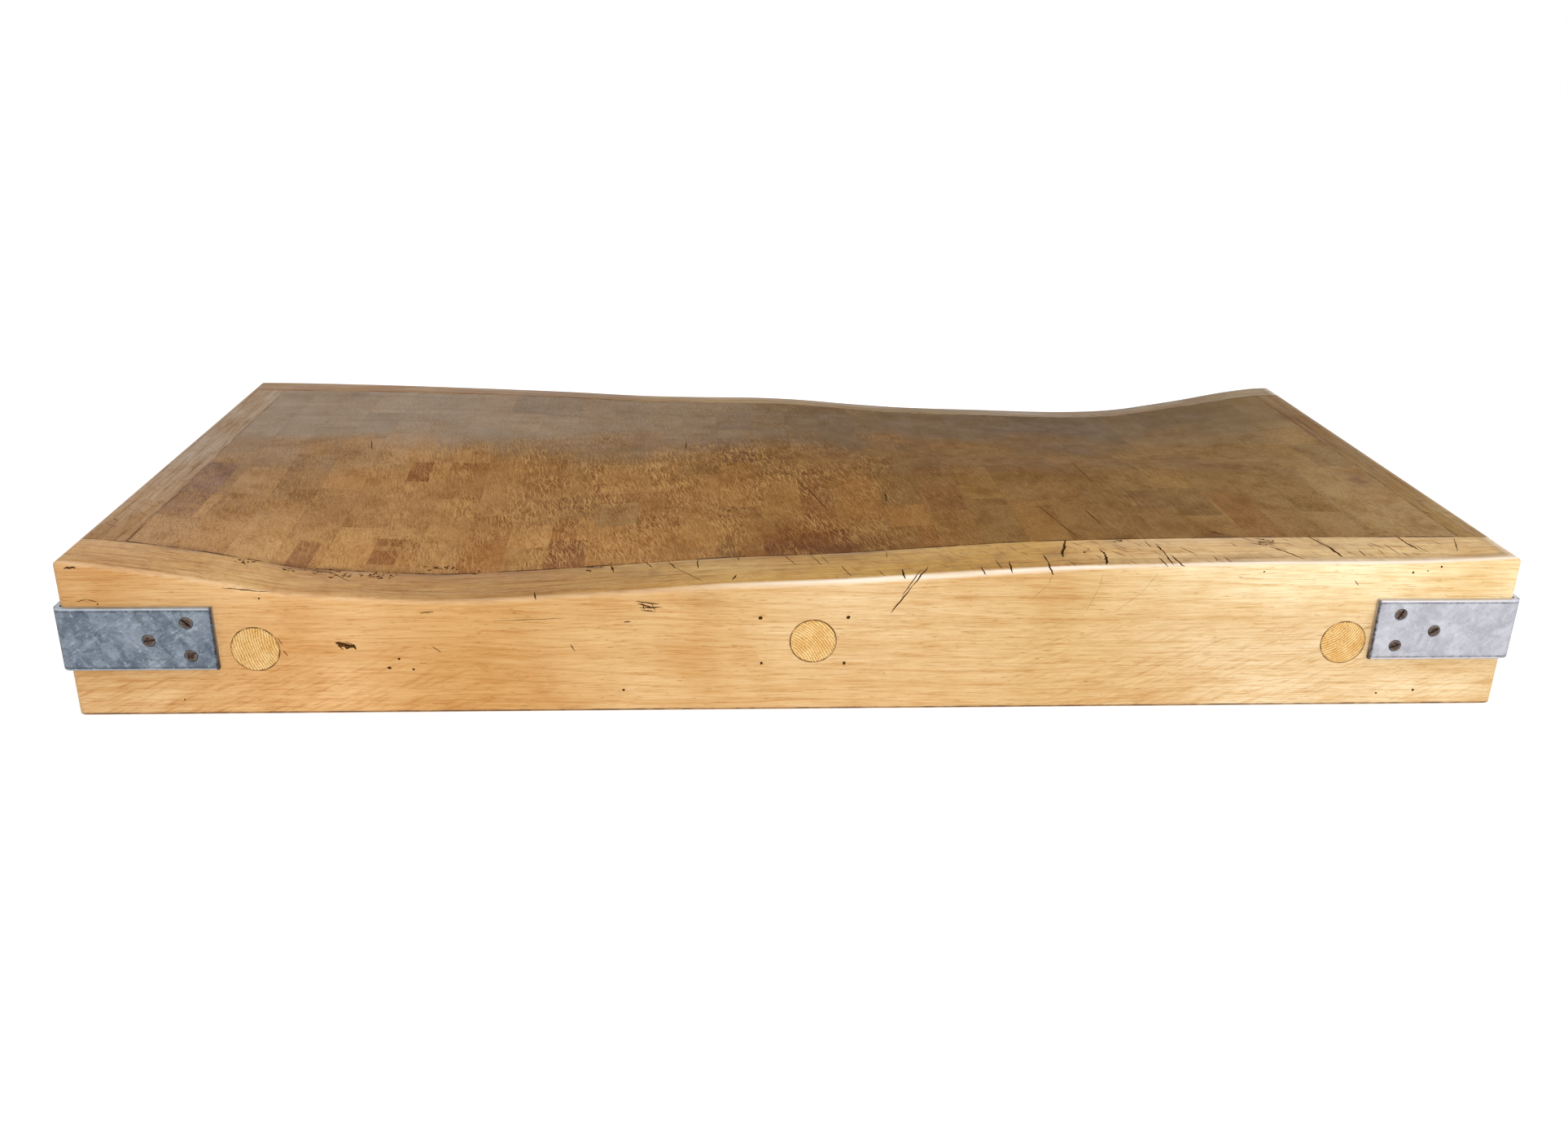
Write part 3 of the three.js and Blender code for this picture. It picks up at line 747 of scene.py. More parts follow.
def strap_centre_line(offset):
    """Plan of one side of the bar in its corner's frame, from the first leg's end to the second's."""
    centre = -STRAP_GAP + STRAP_BEND
    radius = STRAP_BEND + offset
    level = centre - radius
    first, second = (STRAP_REACH - place for place in STRAP_END_PLACES)
    places = [STRAP_REACH, first, *even(second, centre, LEG_STEPS)]
    line = [(x, level) for x in places]
    for step in range(1, BEND_STEPS):
        angle = math.pi * (1.5 - step / BEND_STEPS / 2)
        line.append((centre + radius * math.cos(angle), centre + radius * math.sin(angle)))
    return line + [(level, y) for y in places[::-1]]


def strap_mesh(name, height):
    """A bent flat bar with worn edges."""
    low, high = -height / 2, height / 2
    outer = STRAP_THICKNESS
    eased = STRAP_EASE * 0.3
    heights = [low + place for place in STRAP_LINE_PLACES]
    heights += even(low + STRAP_LINE_INSET, high - STRAP_LINE_INSET, STRAP_RISE_STEPS)
    heights += [high - place for place in STRAP_LINE_PLACES[::-1]]
    profile = [(outer - STRAP_EASE, low), (outer - eased, low + eased)]
    profile += [(outer, z) for z in heights]
    profile += [(outer - eased, high - eased), (outer - STRAP_EASE, high), (0, high), (0, low)]
    lines = {offset: strap_centre_line(offset) for offset, _ in profile}
    rings = []
    for index in range(len(lines[0])):
        rings.append([Vector((*lines[offset][index], z)) for offset, z in profile])
    for ring, axis in ((rings[0], 0), (rings[-1], 1)):
        for point, (offset, _) in zip(ring, profile):
            if offset > 0:
                point[axis] -= STRAP_EASE * 0.4
    return new_mesh(name, *lofted(rings))


def turned_mesh(name, profile, sides):
    """A round solid about Y from (radius, place) points, the first and last on the axis."""
    points, faces = [Vector((0, profile[0][1], 0))], []
    for radius, place in profile[1:-1]:
        for step in range(sides):
            angle = 2 * math.pi * step / sides
            points.append(Vector((radius * math.cos(angle), place, radius * math.sin(angle))))
    points.append(Vector((0, profile[-1][1], 0)))
    last = len(points) - 1
    rings = len(profile) - 2
    for step in range(sides):
        after = (step + 1) % sides
        faces.append((0, 1 + step, 1 + after))
        for ring in range(rings - 1):
            here = 1 + ring * sides
            faces.append((here + step, here + sides + step, here + sides + after, here + after))
        end = 1 + (rings - 1) * sides
        faces.append((end + step, last, end + after))
    return new_mesh(name, points, faces)


SCREW_RADIUS = 4.5 * MM
SCREW_RIM = 0.4 * MM
SCREW_CONE = 2.4 * MM
SCREW_SHANK = 2 * MM
SCREW_LENGTH = 27 * MM
SCREW_TIP = 5 * MM
SLOT_WIDTH = 1.3 * MM
SLOT_DEPTH = 1.2 * MM
SCREW_EASE = 0.25 * MM
HEAD_FACE = 0.05 * MM
HEAD_WEAR = (0.35 * MM, 1 * MM)
SINK_RADIUS = 4.95 * MM
SINK_EASE = 0.5 * MM
SHANK_GAP = 0.4 * MM
OVERRUN = 1 * MM
SCREW_SIDES = 28
SCREWS_IN_LEG = 3
SLOT_TURNS = {
    "front_left": (0.75, -0.6, -0.15), "front_right": (-1.1, -0.4, -0.6),
    "back_right": (0.3, 1.9, -0.5), "back_left": (1.4, -0.2, 0.9),
}


def corner_matrix(corner):
    """Puts a strap's own frame at its corner of the block."""
    turns = CORNERS.index(corner)
    low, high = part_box(f"corner_strap_{corner}")
    x = -HALF_LENGTH if corner.endswith("left") else HALF_LENGTH
    y = -HALF_DEPTH if corner.startswith("front") else HALF_DEPTH
    return Matrix.Translation((x, y, (low.z + high.z) / 2)) @ Matrix.Rotation(turns * math.pi / 2, 4, "Z")


def screw_matrix(corner, number):
    """Where a screw of the solids stands, with its axis, which is Y here, pointing into the wood."""
    low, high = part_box(f"strap_screw_{corner}_{number}")
    middle = (low + high) / 2
    into = Vector((0, 0, 0))
    axis = 0 if high.x - low.x > high.y - low.y else 1
    into[axis] = -1 if middle[axis] > 0 else 1
    head = middle.copy()
    head[axis] = high[axis] if into[axis] < 0 else low[axis]
    up = Vector((0, 0, 1))
    turn = Matrix((into.cross(up), into, up)).transposed()
    slot = SLOT_TURNS[corner][(number - 1) % SCREWS_IN_LEG]
    return Matrix.Translation(head) @ turn.to_4x4() @ Matrix.Rotation(slot, 4, "Y")


def box_mesh(name, size):
    x, y, z = (length / 2 for length in size)
    rings = [[(-x, at, -z), (x, at, -z), (x, at, z), (-x, at, z)] for at in (-y, y)]
    return new_mesh(name, *lofted(rings))


def screw_values(point):
    rim, depth = HEAD_WEAR
    return {"wear_and_highlight": float(math.hypot(point.x, point.z) > SCREW_RADIUS - rim and point.y < depth)}


def screw_mesh():
    body = turned_mesh("screw", [
        (0, HEAD_FACE), (SCREW_RADIUS * 0.5, 1.2 * HEAD_FACE), (SCREW_RADIUS - SCREW_EASE, 2 * HEAD_FACE),
        (SCREW_RADIUS, SCREW_EASE), (SCREW_RADIUS, SCREW_RIM + SCREW_EASE * 0.2),
        (SCREW_SHANK, SCREW_RIM + SCREW_CONE), (SCREW_SHANK, SCREW_LENGTH - SCREW_TIP),
        (0, SCREW_LENGTH),
    ], SCREW_SIDES)
    slot = box_mesh("slot", (3 * SCREW_RADIUS, 2 * SLOT_DEPTH, SLOT_WIDTH))
    made = difference(body, [slot])
    paint(made, screw_values)
    return made


def sink_mesh():
    """The countersunk hole that a screw sits in."""
    through = STRAP_THICKNESS + 2 * OVERRUN
    bore = SCREW_SHANK + SHANK_GAP
    return turned_mesh("sink", [
        (0, -OVERRUN), (SINK_RADIUS + SINK_EASE, -OVERRUN), (SINK_RADIUS + SINK_EASE * 0.24, 0),
        (SINK_RADIUS - SINK_EASE * 0.2, SCREW_RIM), (bore, SCREW_RIM + SCREW_CONE), (bore, through),
        (0, through),
    ], SCREW_SIDES)


# Materials

class Nodes:
    """A node tree, with a short call for each kind of node."""

    def __init__(self, owner):
        owner.use_nodes = True
        self.tree = owner.node_tree

    def feed(self, socket, value):
        if isinstance(value, bpy.types.NodeSocket):
            self.tree.links.new(value, socket)
        elif isinstance(value, tuple) and len(value) == 3 and socket.type == "RGBA":
            socket.default_value = (*value, 1)
        else:
            socket.default_value = value

    def node(self, kind, *values, **named):
        """A new node with its first inputs. A capital starts an input's name, a small letter a setting's."""
        made = self.tree.nodes.new("ShaderNode" + kind)
        for key, value in named.items():
            if key[0].isupper():
                self.feed(made.inputs[key.replace("_", " ")], value)
            else:
                setattr(made, key, value)
        for socket, value in zip(made.inputs, values):
            self.feed(socket, value)
        return made

    def math(self, operation, *values):
        return self.node("Math", *values, operation=operation).outputs[0]

    def product(self, first, *others):
        for other in others:
            first = self.math("MULTIPLY", first, other)
        return first

    def most(self, first, *others):
        for other in others:
            first = self.math("MAXIMUM", first, other)
        return first

    def wave(self, phase):
        return self.math("SINE", self.product(phase, 2 * math.pi))


class Finish(Nodes):
    """A material, with its colour so far."""

    def __init__(self, name, **shader_values):
        self.material = bpy.data.materials.new(name)
        super().__init__(self.material)
        self.shader = self.tree.nodes["Principled BSDF"]
        for socket, value in shader_values.items():
            self.shader.inputs[socket.replace("_", " ")].default_value = value
        self.place = self.node("TexCoord").outputs["Object"]
        self.colour = None

    def attribute(self, name, output="Fac"):
        return self.node("Attribute", attribute_name=name).outputs[output]

    def spread(self, vector, scale, turn=None, shift=(0, 0, 0)):
        """A vector turned, then stretched along its axes."""
        if turn:
            vector = self.node("Mapping", Vector=vector, Rotation=turn).outputs[0]
        return self.node("Mapping", Vector=vector, Location=shift, Scale=scale).outputs[0]

    def added(self, first, second):
        return self.node("VectorMath", first, second, operation="ADD").outputs[0]

    def distance(self, vector):
        return self.node("VectorMath", vector, operation="LENGTH").outputs["Value"]

    def noise(self, vector, scale=1, detail=2, roughness=0.5, distortion=0):
        made = self.node("TexNoise", Vector=vector, Scale=scale, Detail=detail, Roughness=roughness,
                         Distortion=distortion)
        return made.outputs["Fac"]

    def streaks(self, vector, scale, detail=2, roughness=0.5, turn=None, shift=(0, 0, 0)):
        return self.noise(self.spread(vector, scale, turn, shift), 1, detail, roughness)

    def stray(self, vector, scale):
        """A noise with its own value for each axis, from about -0.5 to 0.5."""
        made = self.node("TexNoise", Vector=vector, Scale=scale, Detail=1)
        return self.added(made.outputs["Color"], (-0.5, -0.5, -0.5))

    def ranged(self, value, low, high, to_low=0, to_high=1):
        made = self.node("MapRange", value, low, high, to_low, to_high, interpolation_type="SMOOTHSTEP")
        return made.outputs[0]

    def mixed(self, share, first, second, blend_type="MIX"):
        made = self.node("Mix", data_type="RGBA", blend_type=blend_type)
        for index, value in ((0, share), (6, first), (7, second)):
            self.feed(made.inputs[index], value)
        return made.outputs[2]

    def covered(self, share, colour):
        self.colour = self.mixed(share, self.colour, colour)

    def toned(self, share, tone):
        self.colour = self.mixed(share, self.colour, tone, "MULTIPLY")

    def toned_by(self, where, *rows):
        """Each row: a noise, where its tone starts and is full, its full share, and the tone."""
        for value, low, high, full, tone in rows:
            share = self.ranged(value, low, high, 0, full)
            self.toned(share if where is None else self.product(share, where), tone)

    def covered_by(self, *rows):
        for value, low, high, full, colour in rows:
            self.covered(self.ranged(value, low, high, 0, full), colour)

    def dirtied_and_shaded(self, place, scale, low, high, more, least, dirt):
        """Broken dark colour where grime and painted shade are stored: dirt, and on the boards a painted
        shadow along the foot.
        """
        blotch = self.ranged(self.noise(place, scale, 4, 0.6), low, high)
        share = self.math("ADD", self.product(blotch, more), least)
        self.covered(self.math("MINIMUM", self.product(self.attribute("grime_and_shade"), share), 1), dirt)

    def jointed(self):
        """Broken dark lines along the joints."""
        broken = self.ranged(self.noise(self.place, 42, 4, 0.65), 0.40, 0.60, 0.1, 1)
        self.covered(self.product(self.attribute("joint"), broken), JOINT_DIRT)

    def scratches(self, angle, across, along, low, shift):
        """Fine marks in about one direction, as a share of the surface."""
        bent = self.added(self.place, self.spread(self.stray(self.place, 14), (0.008, 0.008, 0)))
        lines = self.streaks(bent, (across, along, 0), 1, 0.5, (0, 0, angle), (shift, shift, 0))
        return self.ranged(lines, low, low + 0.09)

    def bumped(self, height, distance, strength, normal=None):
        made = self.node("Bump", Height=height, Distance=distance, Strength=strength)
        if normal is not None:
            self.feed(made.inputs["Normal"], normal)
        return made.outputs[0]

    def done(self, roughness, normal):
        for socket, value in (("Base Color", self.colour), ("Roughness", roughness), ("Normal", normal)):
            self.feed(self.shader.inputs[socket], value)
        return self.material


def linear(red, green, blue):
    """Linear light of a colour given as it shows on a screen, 0 to 255."""
    def one(value):
        share = value / 255
        return share / 12.92 if share <= 0.04045 else ((share + 0.055) / 1.055) ** 2.4
    return one(red), one(green), one(blue)


WOOD_IOR = 1.45
JOINT_DIRT = linear(84, 54, 30)
# Dirt on the boards, also the colour of the painted shadow along their foot
RAIL_DIRT_AND_SHADE = linear(104, 74, 44)
CORE_DIRT = linear(84, 46, 28)
PLUG_JOINT_DIRT = linear(104, 68, 32)
# Pale rubbed wood, also the colour of the painted highlight along the arris
WOOD_WEAR_AND_HIGHLIGHT = linear(255, 241, 222)
SCORED_PALE = linear(206, 160, 98)
# Colour of the painted shade on the straps
STRAP_SHADE = linear(58, 52, 54)
RUBBED_STEEL = linear(206, 200, 196)

# Pairs of tones that a material varies between
CRACK_BROWNS = (linear(66, 41, 20), linear(124, 84, 45))
PLUG_TANS = (linear(250, 214, 150), linear(236, 190, 116))
SCREW_BROWNS = (linear(50, 38, 32), linear(104, 84, 72))
BOLT_GREYS = (linear(74, 70, 66), linear(128, 124, 118))

# Dark, middle and light zinc, and its stains
LEFT_ZINC = (linear(86, 96, 110), linear(140, 150, 161), linear(188, 198, 206), linear(86, 98, 104))
RIGHT_ZINC = (linear(158, 158, 166), linear(188, 189, 196), linear(209, 209, 216), linear(150, 146, 150))


def long_grain(name, turn, shine):
    """A board's wood: fine fibres, growth lines, curl and small flecks along its grain."""
    wood = Finish(name, IOR=WOOD_IOR, Specular_IOR_Level=shine)
    place = wood.spread(wood.place, (1, 1, 1), turn)
    along, deep, high = wood.node("SeparateXYZ", place).outputs
    bent = wood.added(place, wood.spread(wood.stray(place, 7), (0, 0.007, 0.007)))
    bend = wood.streaks(place, (1.5, 7, 7))
    phase = wood.math("ADD", wood.product(high, 95), wood.product(deep, 60))
    rings = wood.wave(wood.math("ADD", phase, wood.product(bend, 7.5)))
    fibre = wood.streaks(bent, (34, 1150, 1150), 4, 0.72)
    strand = wood.streaks(bent, (16, 380, 380), 4, 0.65)
    streak = wood.streaks(bent, (3.2, 85, 85), 3, 0.55)
    slant = wood.streaks(bent, (38, 420, 420), 4, 0.65, (0, 0.42, 0))
    at_left = wood.product(wood.ranged(along, -0.12, -0.4), wood.ranged(high, 0.075, 0.02))
    at_right = wood.product(wood.ranged(along, 0.1, 0.22, 0, 0.7), wood.ranged(high, 0.09, 0.05))
    cloud = wood.streaks(place, (9, 16, 16), 5, 0.62)
    fleck = wood.streaks(bent, (110, 760, 760))

    wood.colour = wood.attribute("tint", "Color")
    wood.toned_by(
        None,
        (cloud, 0.44, 0.68, 0.95, (0.87, 0.75, 0.59)), (cloud, 0.46, 0.30, 1, (1.07, 1.11, 1.2)),
        (streak, 0.48, 0.7, 0.4, (0.88, 0.78, 0.62)), (streak, 0.48, 0.28, 0.5, (1.05, 1.09, 1.14)),
        (strand, 0.5, 0.7, 0.75, (0.86, 0.74, 0.56)), (strand, 0.5, 0.3, 0.6, (1.06, 1.1, 1.15)),
        (rings, 0.75, 1, 0.3, (0.82, 0.68, 0.5)), (fibre, 0.5, 0.68, 0.85, (0.76, 0.62, 0.44)),
        (fibre, 0.5, 0.34, 0.7, (1.09, 1.14, 1.2)),
    )
    wood.toned_by(
        wood.most(at_left, at_right),
        (slant, 0.5, 0.68, 0.8, (0.78, 0.62, 0.42)), (slant, 0.48, 0.3, 0.7, (1.08, 1.13, 1.2)),
    )
    wood.toned_by(None, (fleck, 0.64, 0.71, 0.5, (0.62, 0.44, 0.28)))

    top = wood.attribute("top")
    cuts = wood.most(wood.scratches(-0.55, 330, 46, 0.63, 5.1), wood.scratches(-0.85, 360, 50, 0.64, 2.2))
    patch = wood.ranged(wood.noise(place, 26), 0.4, 0.58, 0.15, 1)
    gouged = wood.product(wood.ranged(along, -0.02, 0.22, 0.2, 1), patch)
    line = wood.streaks(place, (17, 300, 0), 5, 0.7)
    mottle = wood.noise(place, 90, 5, 0.65)
    wood.toned(wood.product(cuts, top, gouged), (0.46, 0.32, 0.20))
    wood.toned_by(
        top,
        (line, 0.5, 0.68, 0.9, (0.60, 0.46, 0.31)), (line, 0.48, 0.3, 0.9, (1.12, 1.15, 1.16)),
        (mottle, 0.45, 0.75, 0.6, (0.74, 0.62, 0.48)),
    )
    # Dirt, and a painted shadow along the foot of the boards
    wood.dirtied_and_shaded(place, 60, 0.42, 0.66, 0.6, 0.5, RAIL_DIRT_AND_SHADE)
    # Pale wear along the upper edges, with a painted highlight along them
    rubbed_and_lit = wood.ranged(wood.streaks(place, (10, 180, 180), 3), 0.3, 0.6, 0.6, 1)
    wood.covered(wood.product(wood.attribute("wear_and_highlight"), rubbed_and_lit), WOOD_WEAR_AND_HIGHLIGHT)
    wood.jointed()

    roughness = wood.ranged(wood.streaks(place, (8, 120, 120), 3), 0.3, 0.7, 0.34, 0.52)
    relief = wood.bumped(fibre, 0.00012, 0.6)
    return wood.done(roughness, wood.bumped(wood.streaks(place, (14, 60, 60)), 0.0006, 0.35, relief))


def chopping_wood():
    """End grain, dull and grey with patina and a painted sheen where it is flat, brown and scored all over
    where it was chopped.
    """
    wood = Finish("end_grain", IOR=WOOD_IOR, Specular_IOR_Level=0.1)
    # Patina with a painted sheen on the flat far part of the face
    patina_and_sheen = wood.attribute("patina_and_sheen")
    own = wood.added(wood.place, wood.attribute("pith", "Vector"))
    wobble = wood.streaks(own, (45, 45, 0))
    far = wood.product(wood.distance(wood.spread(own, (1, 1, 0))), 330)
    rings = wood.wave(wood.math("ADD", far, wood.product(wobble, 1.6)))
    pores = wood.streaks(own, (700, 700, 60), 3, 0.7)
    cloud = wood.streaks(own, (38, 30, 5), 5, 0.62)
    broad = wood.streaks(wood.place, (9, 7, 0), 4, 0.6, None, (3, 1, 0))
    mottle = wood.noise(wood.place, 190, 5, 0.68)
    wiped = wood.streaks(wood.place, (7, 55, 0), 5, 0.62)

    used = wood.ranged(patina_and_sheen, 0, 1, 1, 0.3)
    wood.colour = wood.attribute("tint", "Color")
    wood.toned_by(
        used,
        (cloud, 0.45, 0.70, 0.75, (0.70, 0.60, 0.48)), (cloud, 0.48, 0.28, 0.7, (1.16, 1.17, 1.16)),
    )
    wood.toned_by(
        None,
        (broad, 0.45, 0.68, 0.55, (0.78, 0.70, 0.60)), (broad, 0.48, 0.3, 0.5, (1.12, 1.14, 1.12)),
        (rings, 0.1, 1, 0.10, (0.6, 0.45, 0.3)), (pores, 0.44, 0.68, 0.75, (0.58, 0.44, 0.32)),
    )
    wood.toned_by(
        used,
        (mottle, 0.48, 0.70, 0.5, (0.72, 0.61, 0.50)), (mottle, 0.50, 0.32, 0.5, (1.12, 1.13, 1.10)),
    )
    wood.toned_by(
        patina_and_sheen,
        (wiped, 0.5, 0.68, 0.9, (0.86, 0.83, 0.82)), (wiped, 0.48, 0.32, 0.9, (1.12, 1.12, 1.10)),
    )

    light = wood.most(
        wood.scratches(-0.14, 740, 52, 0.56, 1.3), wood.scratches(-0.36, 800, 60, 0.57, 4.1),
        wood.scratches(0.12, 760, 60, 0.60, 7.7), wood.scratches(-0.8, 800, 70, 0.62, 2.9),
    )
    dark = wood.most(
        wood.scratches(-0.2, 720, 50, 0.56, 9.2), wood.scratches(0.1, 780, 60, 0.59, 3.3),
        wood.scratches(-0.5, 720, 64, 0.60, 5.5),
    )
    patch = wood.ranged(wood.streaks(wood.place, (20, 14, 0)), 0.32, 0.62, 0.25, 1)
    along = wood.node("SeparateXYZ", wood.place).outputs[0]
    busy = wood.product(wood.ranged(along, -0.04, 0.16, 1, 0.25), wood.ranged(along, -0.46, -0.22, 0.5, 1))
    scored = wood.product(wood.math("SUBTRACT", 1, wood.product(patina_and_sheen, 0.7)), patch, busy)
    wood.toned(wood.product(dark, scored, 0.8), (0.55, 0.42, 0.3))
    wood.covered(wood.product(light, scored, 0.68), SCORED_PALE)
    wood.dirtied_and_shaded(wood.place, 55, 0.36, 0.66, 0.8, 0.4, CORE_DIRT)
    wood.jointed()

    smooth = wood.ranged(patina_and_sheen, 0, 1, 0.66, 0.5)
    roughness = wood.math("ADD", smooth, wood.ranged(cloud, 0.3, 0.7, -0.05, 0.08))
    relief = wood.bumped(wood.most(light, dark), 0.00015, 0.5)
    relief = wood.bumped(pores, 0.00012, 0.5, relief)
    return wood.done(roughness, wood.bumped(wood.streaks(wood.place, (40, 30, 10)), 0.0007, 0.4, relief))


def crack_wood():
    """The inside of a split or cut, full of old dirt."""
    wood = Finish("old_crack", Specular_IOR_Level=0)
    fleck = wood.noise(wood.place, 900, 3, 0.7)
    wood.colour = wood.mixed(wood.ranged(fleck, 0.35, 0.7), *CRACK_BROWNS)
    return wood.done(0.85, wood.bumped(fleck, 0.0003, 0.6))


def plug_wood():
    """End grain across a plug, with arcs of growth rings and dark pores."""
    wood = Finish("plug_end_grain", IOR=WOOD_IOR, Specular_IOR_Level=0.2)
    own = wood.added(wood.place, wood.attribute("pith", "Vector"))
    wobble = wood.product(wood.streaks(own, (70, 8, 70), 3), 1.5)
    far = wood.product(wood.distance(wood.spread(own, (1, 0, 1))), 520)
    ring = wood.ranged(wood.wave(wood.math("ADD", far, wobble)), 0.2, 0.95)
    pores = wood.streaks(own, (1300, 60, 1300))
    rays = wood.streaks(own, (700, 30, 120), 2, 0.5, (0, 0.6, 0))
    cloud = wood.ranged(wood.streaks(own, (90, 12, 90), 3), 0.3, 0.7)
    wood.colour = wood.mixed(cloud, *PLUG_TANS)
    wood.toned(wood.product(ring, 0.9), (0.54, 0.37, 0.19))
    wood.toned_by(
        None,
        (rays, 0.5, 0.72, 0.6, (1.14, 1.18, 1.16)), (pores, 0.50, 0.64, 0.6, (0.52, 0.36, 0.2)),
    )
    broken = wood.ranged(wood.noise(wood.place, 120, 3, 0.6), 0.35, 0.6, 0.3, 1)
    wood.covered(wood.product(wood.attribute("joint"), broken), PLUG_JOINT_DIRT)
    return wood.done(0.5, wood.bumped(ring, 0.0001, 0.6))


def strap_steel(name, dark, middle, light, stain, rough_low, rough_high):
    """Old galvanised bar: clouds of dull and bright zinc, scuffs, painted shade along its edges and ends,
    and a painted highlight on its edges.
    """
    steel = Finish(name, Metallic=0.85)
    cloud = steel.noise(steel.place, 60, 5, 0.62, 0.8)
    small = steel.noise(steel.place, 330, 5, 0.66, 0.5)
    smudge = steel.noise(steel.place, 34, 4, 0.6, 1.2)
    drag = steel.streaks(steel.place, (70, 70, 520), 3, 0.5, (0, 0.6, 0))
    drag_back = steel.streaks(steel.place, (80, 80, 560), 3, 0.5, (0, -0.8, 0), (2, 5, 1))
    lines = steel.streaks(steel.place, (30, 30, 1500), 3)
    steel.colour = steel.mixed(steel.ranged(cloud, 0.34, 0.68), dark, middle)
    steel.covered_by((small, 0.5, 0.3, 0.45, dark), (small, 0.54, 0.72, 0.5, light))
    patch = steel.ranged(smudge, 0.4, 0.62)
    steel.covered(steel.product(steel.ranged(drag, 0.56, 0.68, 0, 0.3), patch), light)
    steel.covered(steel.product(steel.ranged(drag_back, 0.58, 0.70, 0, 0.25), patch), light)
    steel.covered_by((lines, 0.56, 0.72, 0.35, dark), (smudge, 0.62, 0.72, 0.6, stain))
    # Painted shade in dark lines along the strap's edges, ends, bend and foot
    shade_share = steel.product(steel.attribute("grime_and_shade"), steel.ranged(small, 0.3, 0.6, 1.2, 0.6))
    steel.covered(steel.math("MINIMUM", shade_share, 1), STRAP_SHADE)
    # A painted highlight in light zinc along the strap's edges
    steel.covered(steel.attribute("wear_and_highlight"), light)
    relief = steel.bumped(cloud, 0.0008, 0.5, steel.bumped(small, 0.0002, 0.5))
    return steel.done(steel.ranged(cloud, 0.35, 0.68, rough_low, rough_high), relief)


def plain_steel(name, dark, light, rough):
    steel = Finish(name, Metallic=0.8)
    cloud = steel.noise(steel.place, 420, 4, 0.65)
    steel.colour = steel.mixed(steel.ranged(cloud, 0.35, 0.68), dark, light)
    steel.covered(steel.product(steel.attribute("wear_and_highlight"), 0.12), RUBBED_STEEL)
    return steel.done(steel.ranged(cloud, 0.3, 0.7, rough, rough + 0.2), steel.bumped(cloud, 0.0002, 0.5))


# Painted values, worked out from each point's place

def tones(*rows):
    """Tones along the block, each from a place in metres and a colour as it shows on a screen."""
    return [(place, linear(*colour)) for place, *colour in rows]


RAIL_TONES = tones(
    (-0.52, 222, 177, 121), (-0.36, 230, 183, 124), (-0.27, 216, 167, 104), (-0.09, 226, 187, 132),
    (0.06, 228, 192, 140), (0.2, 220, 183, 128), (0.375, 236, 208, 163), (0.5, 236, 206, 158),
)
TOP_TONES = tones(
    (-0.55, 206, 160, 102), (-0.4, 212, 166, 104), (-0.22, 178, 132, 72), (-0.09, 204, 163, 94),
    (0.03, 196, 153, 80), (0.15, 205, 163, 84), (0.28, 218, 181, 126), (0.55, 226, 193, 136),
)
NEAR_TONES = tones(
    (-0.52, 174, 138, 102), (-0.35, 182, 137, 86), (-0.15, 169, 124, 72), (0, 149, 106, 51),
    (0.2, 138, 101, 51), (0.38, 145, 111, 63), (0.52, 162, 132, 90),
)
# Far tones of the core, grey on the left with patina and a painted sheen
FAR_TONES = tones(
    (-0.52, 162, 140, 116), (-0.36, 160, 139, 116), (-0.2, 150, 126, 100), (-0.11, 145, 120, 90),
    (0.03, 114, 84, 39), (0.25, 104, 76, 36), (0.52, 124, 97, 54),
)
FRONT_LIFT = ((-0.5, 1.22), (-0.12, 1.28), (0, 1.05), (0.5, 1.02))
MIDDLE_BROWN = (0.87, 0.85, 0.78)
BACK_DULL = 0.6
LEFT_BOARD_NEAR = linear(182, 146, 106)
LEFT_BOARD_FAR = linear(180, 157, 134)
RIGHT_BOARD_NEAR = linear(164, 132, 80)
RIGHT_BOARD_FAR = linear(140, 108, 62)

# Soft dark places on the wood: a point, its reach along each axis and its strength, in millimetres
SOFT_SPOTS = (
    ((-55, -205, 110), (70, 26, 30), 0.35), ((40, -205, 112), (45, 22, 30), 0.45),
    ((190, -238, 118), (14, 8, 20), 0.55), ((-130, -236, 108), (26, 12, 20), 0.4),
    ((415, -232, 120), (22, 9, 20), 0.35), ((-78, -260, 94), (12, 20, 9), 0.25),
    ((330, -205, 118), (9, 8, 20), 0.5), ((508, -64, 110), (16, 24, 30), 0.75),
    ((148, -237, 118), (14, 8, 20), 0.5), ((354, -223, 125), (14, 6, 20), 0.55),
    ((346, -247, 122), (16, 5, 20), 0.4), ((242, -217, 123), (8, 6, 20), 0.55),
    ((105, -238, 116), (22, 8, 20), 0.3), ((-394, 20, 122), (14, 16, 20), 0.45),
    ((-375, -213, 100), (42, 5, 30), 0.75), ((-290, -213, 96), (26, 4, 30), 0.7),
    ((-470, -213, 112), (22, 5, 30), 0.5), ((-168, -214, 100), (22, 4, 30), 0.4),
)


def tone_along(stops, x):
    for (x0, tone0), (x1, tone1) in zip(stops, stops[1:]):
        if x <= x1:
            return blend(tone0, tone1, smooth_step(x, x0, x1))
    return stops[-1][1]


def level_along(stops, x):
    return tone_along([(place, (level,)) for place, level in stops], x)[0]


def spots_at(point):
    total = 0
    for centre, reach, strength in SOFT_SPOTS:
        away = sum(((point[i] - centre[i] * MM) / (reach[i] * MM)) ** 2 for i in range(3))
        total += strength * math.exp(-away)
    return min(1, total)


STORED = {1: ("FLOAT", "value"), 3: ("FLOAT_VECTOR", "vector"), 4: ("FLOAT_COLOR", "color")}


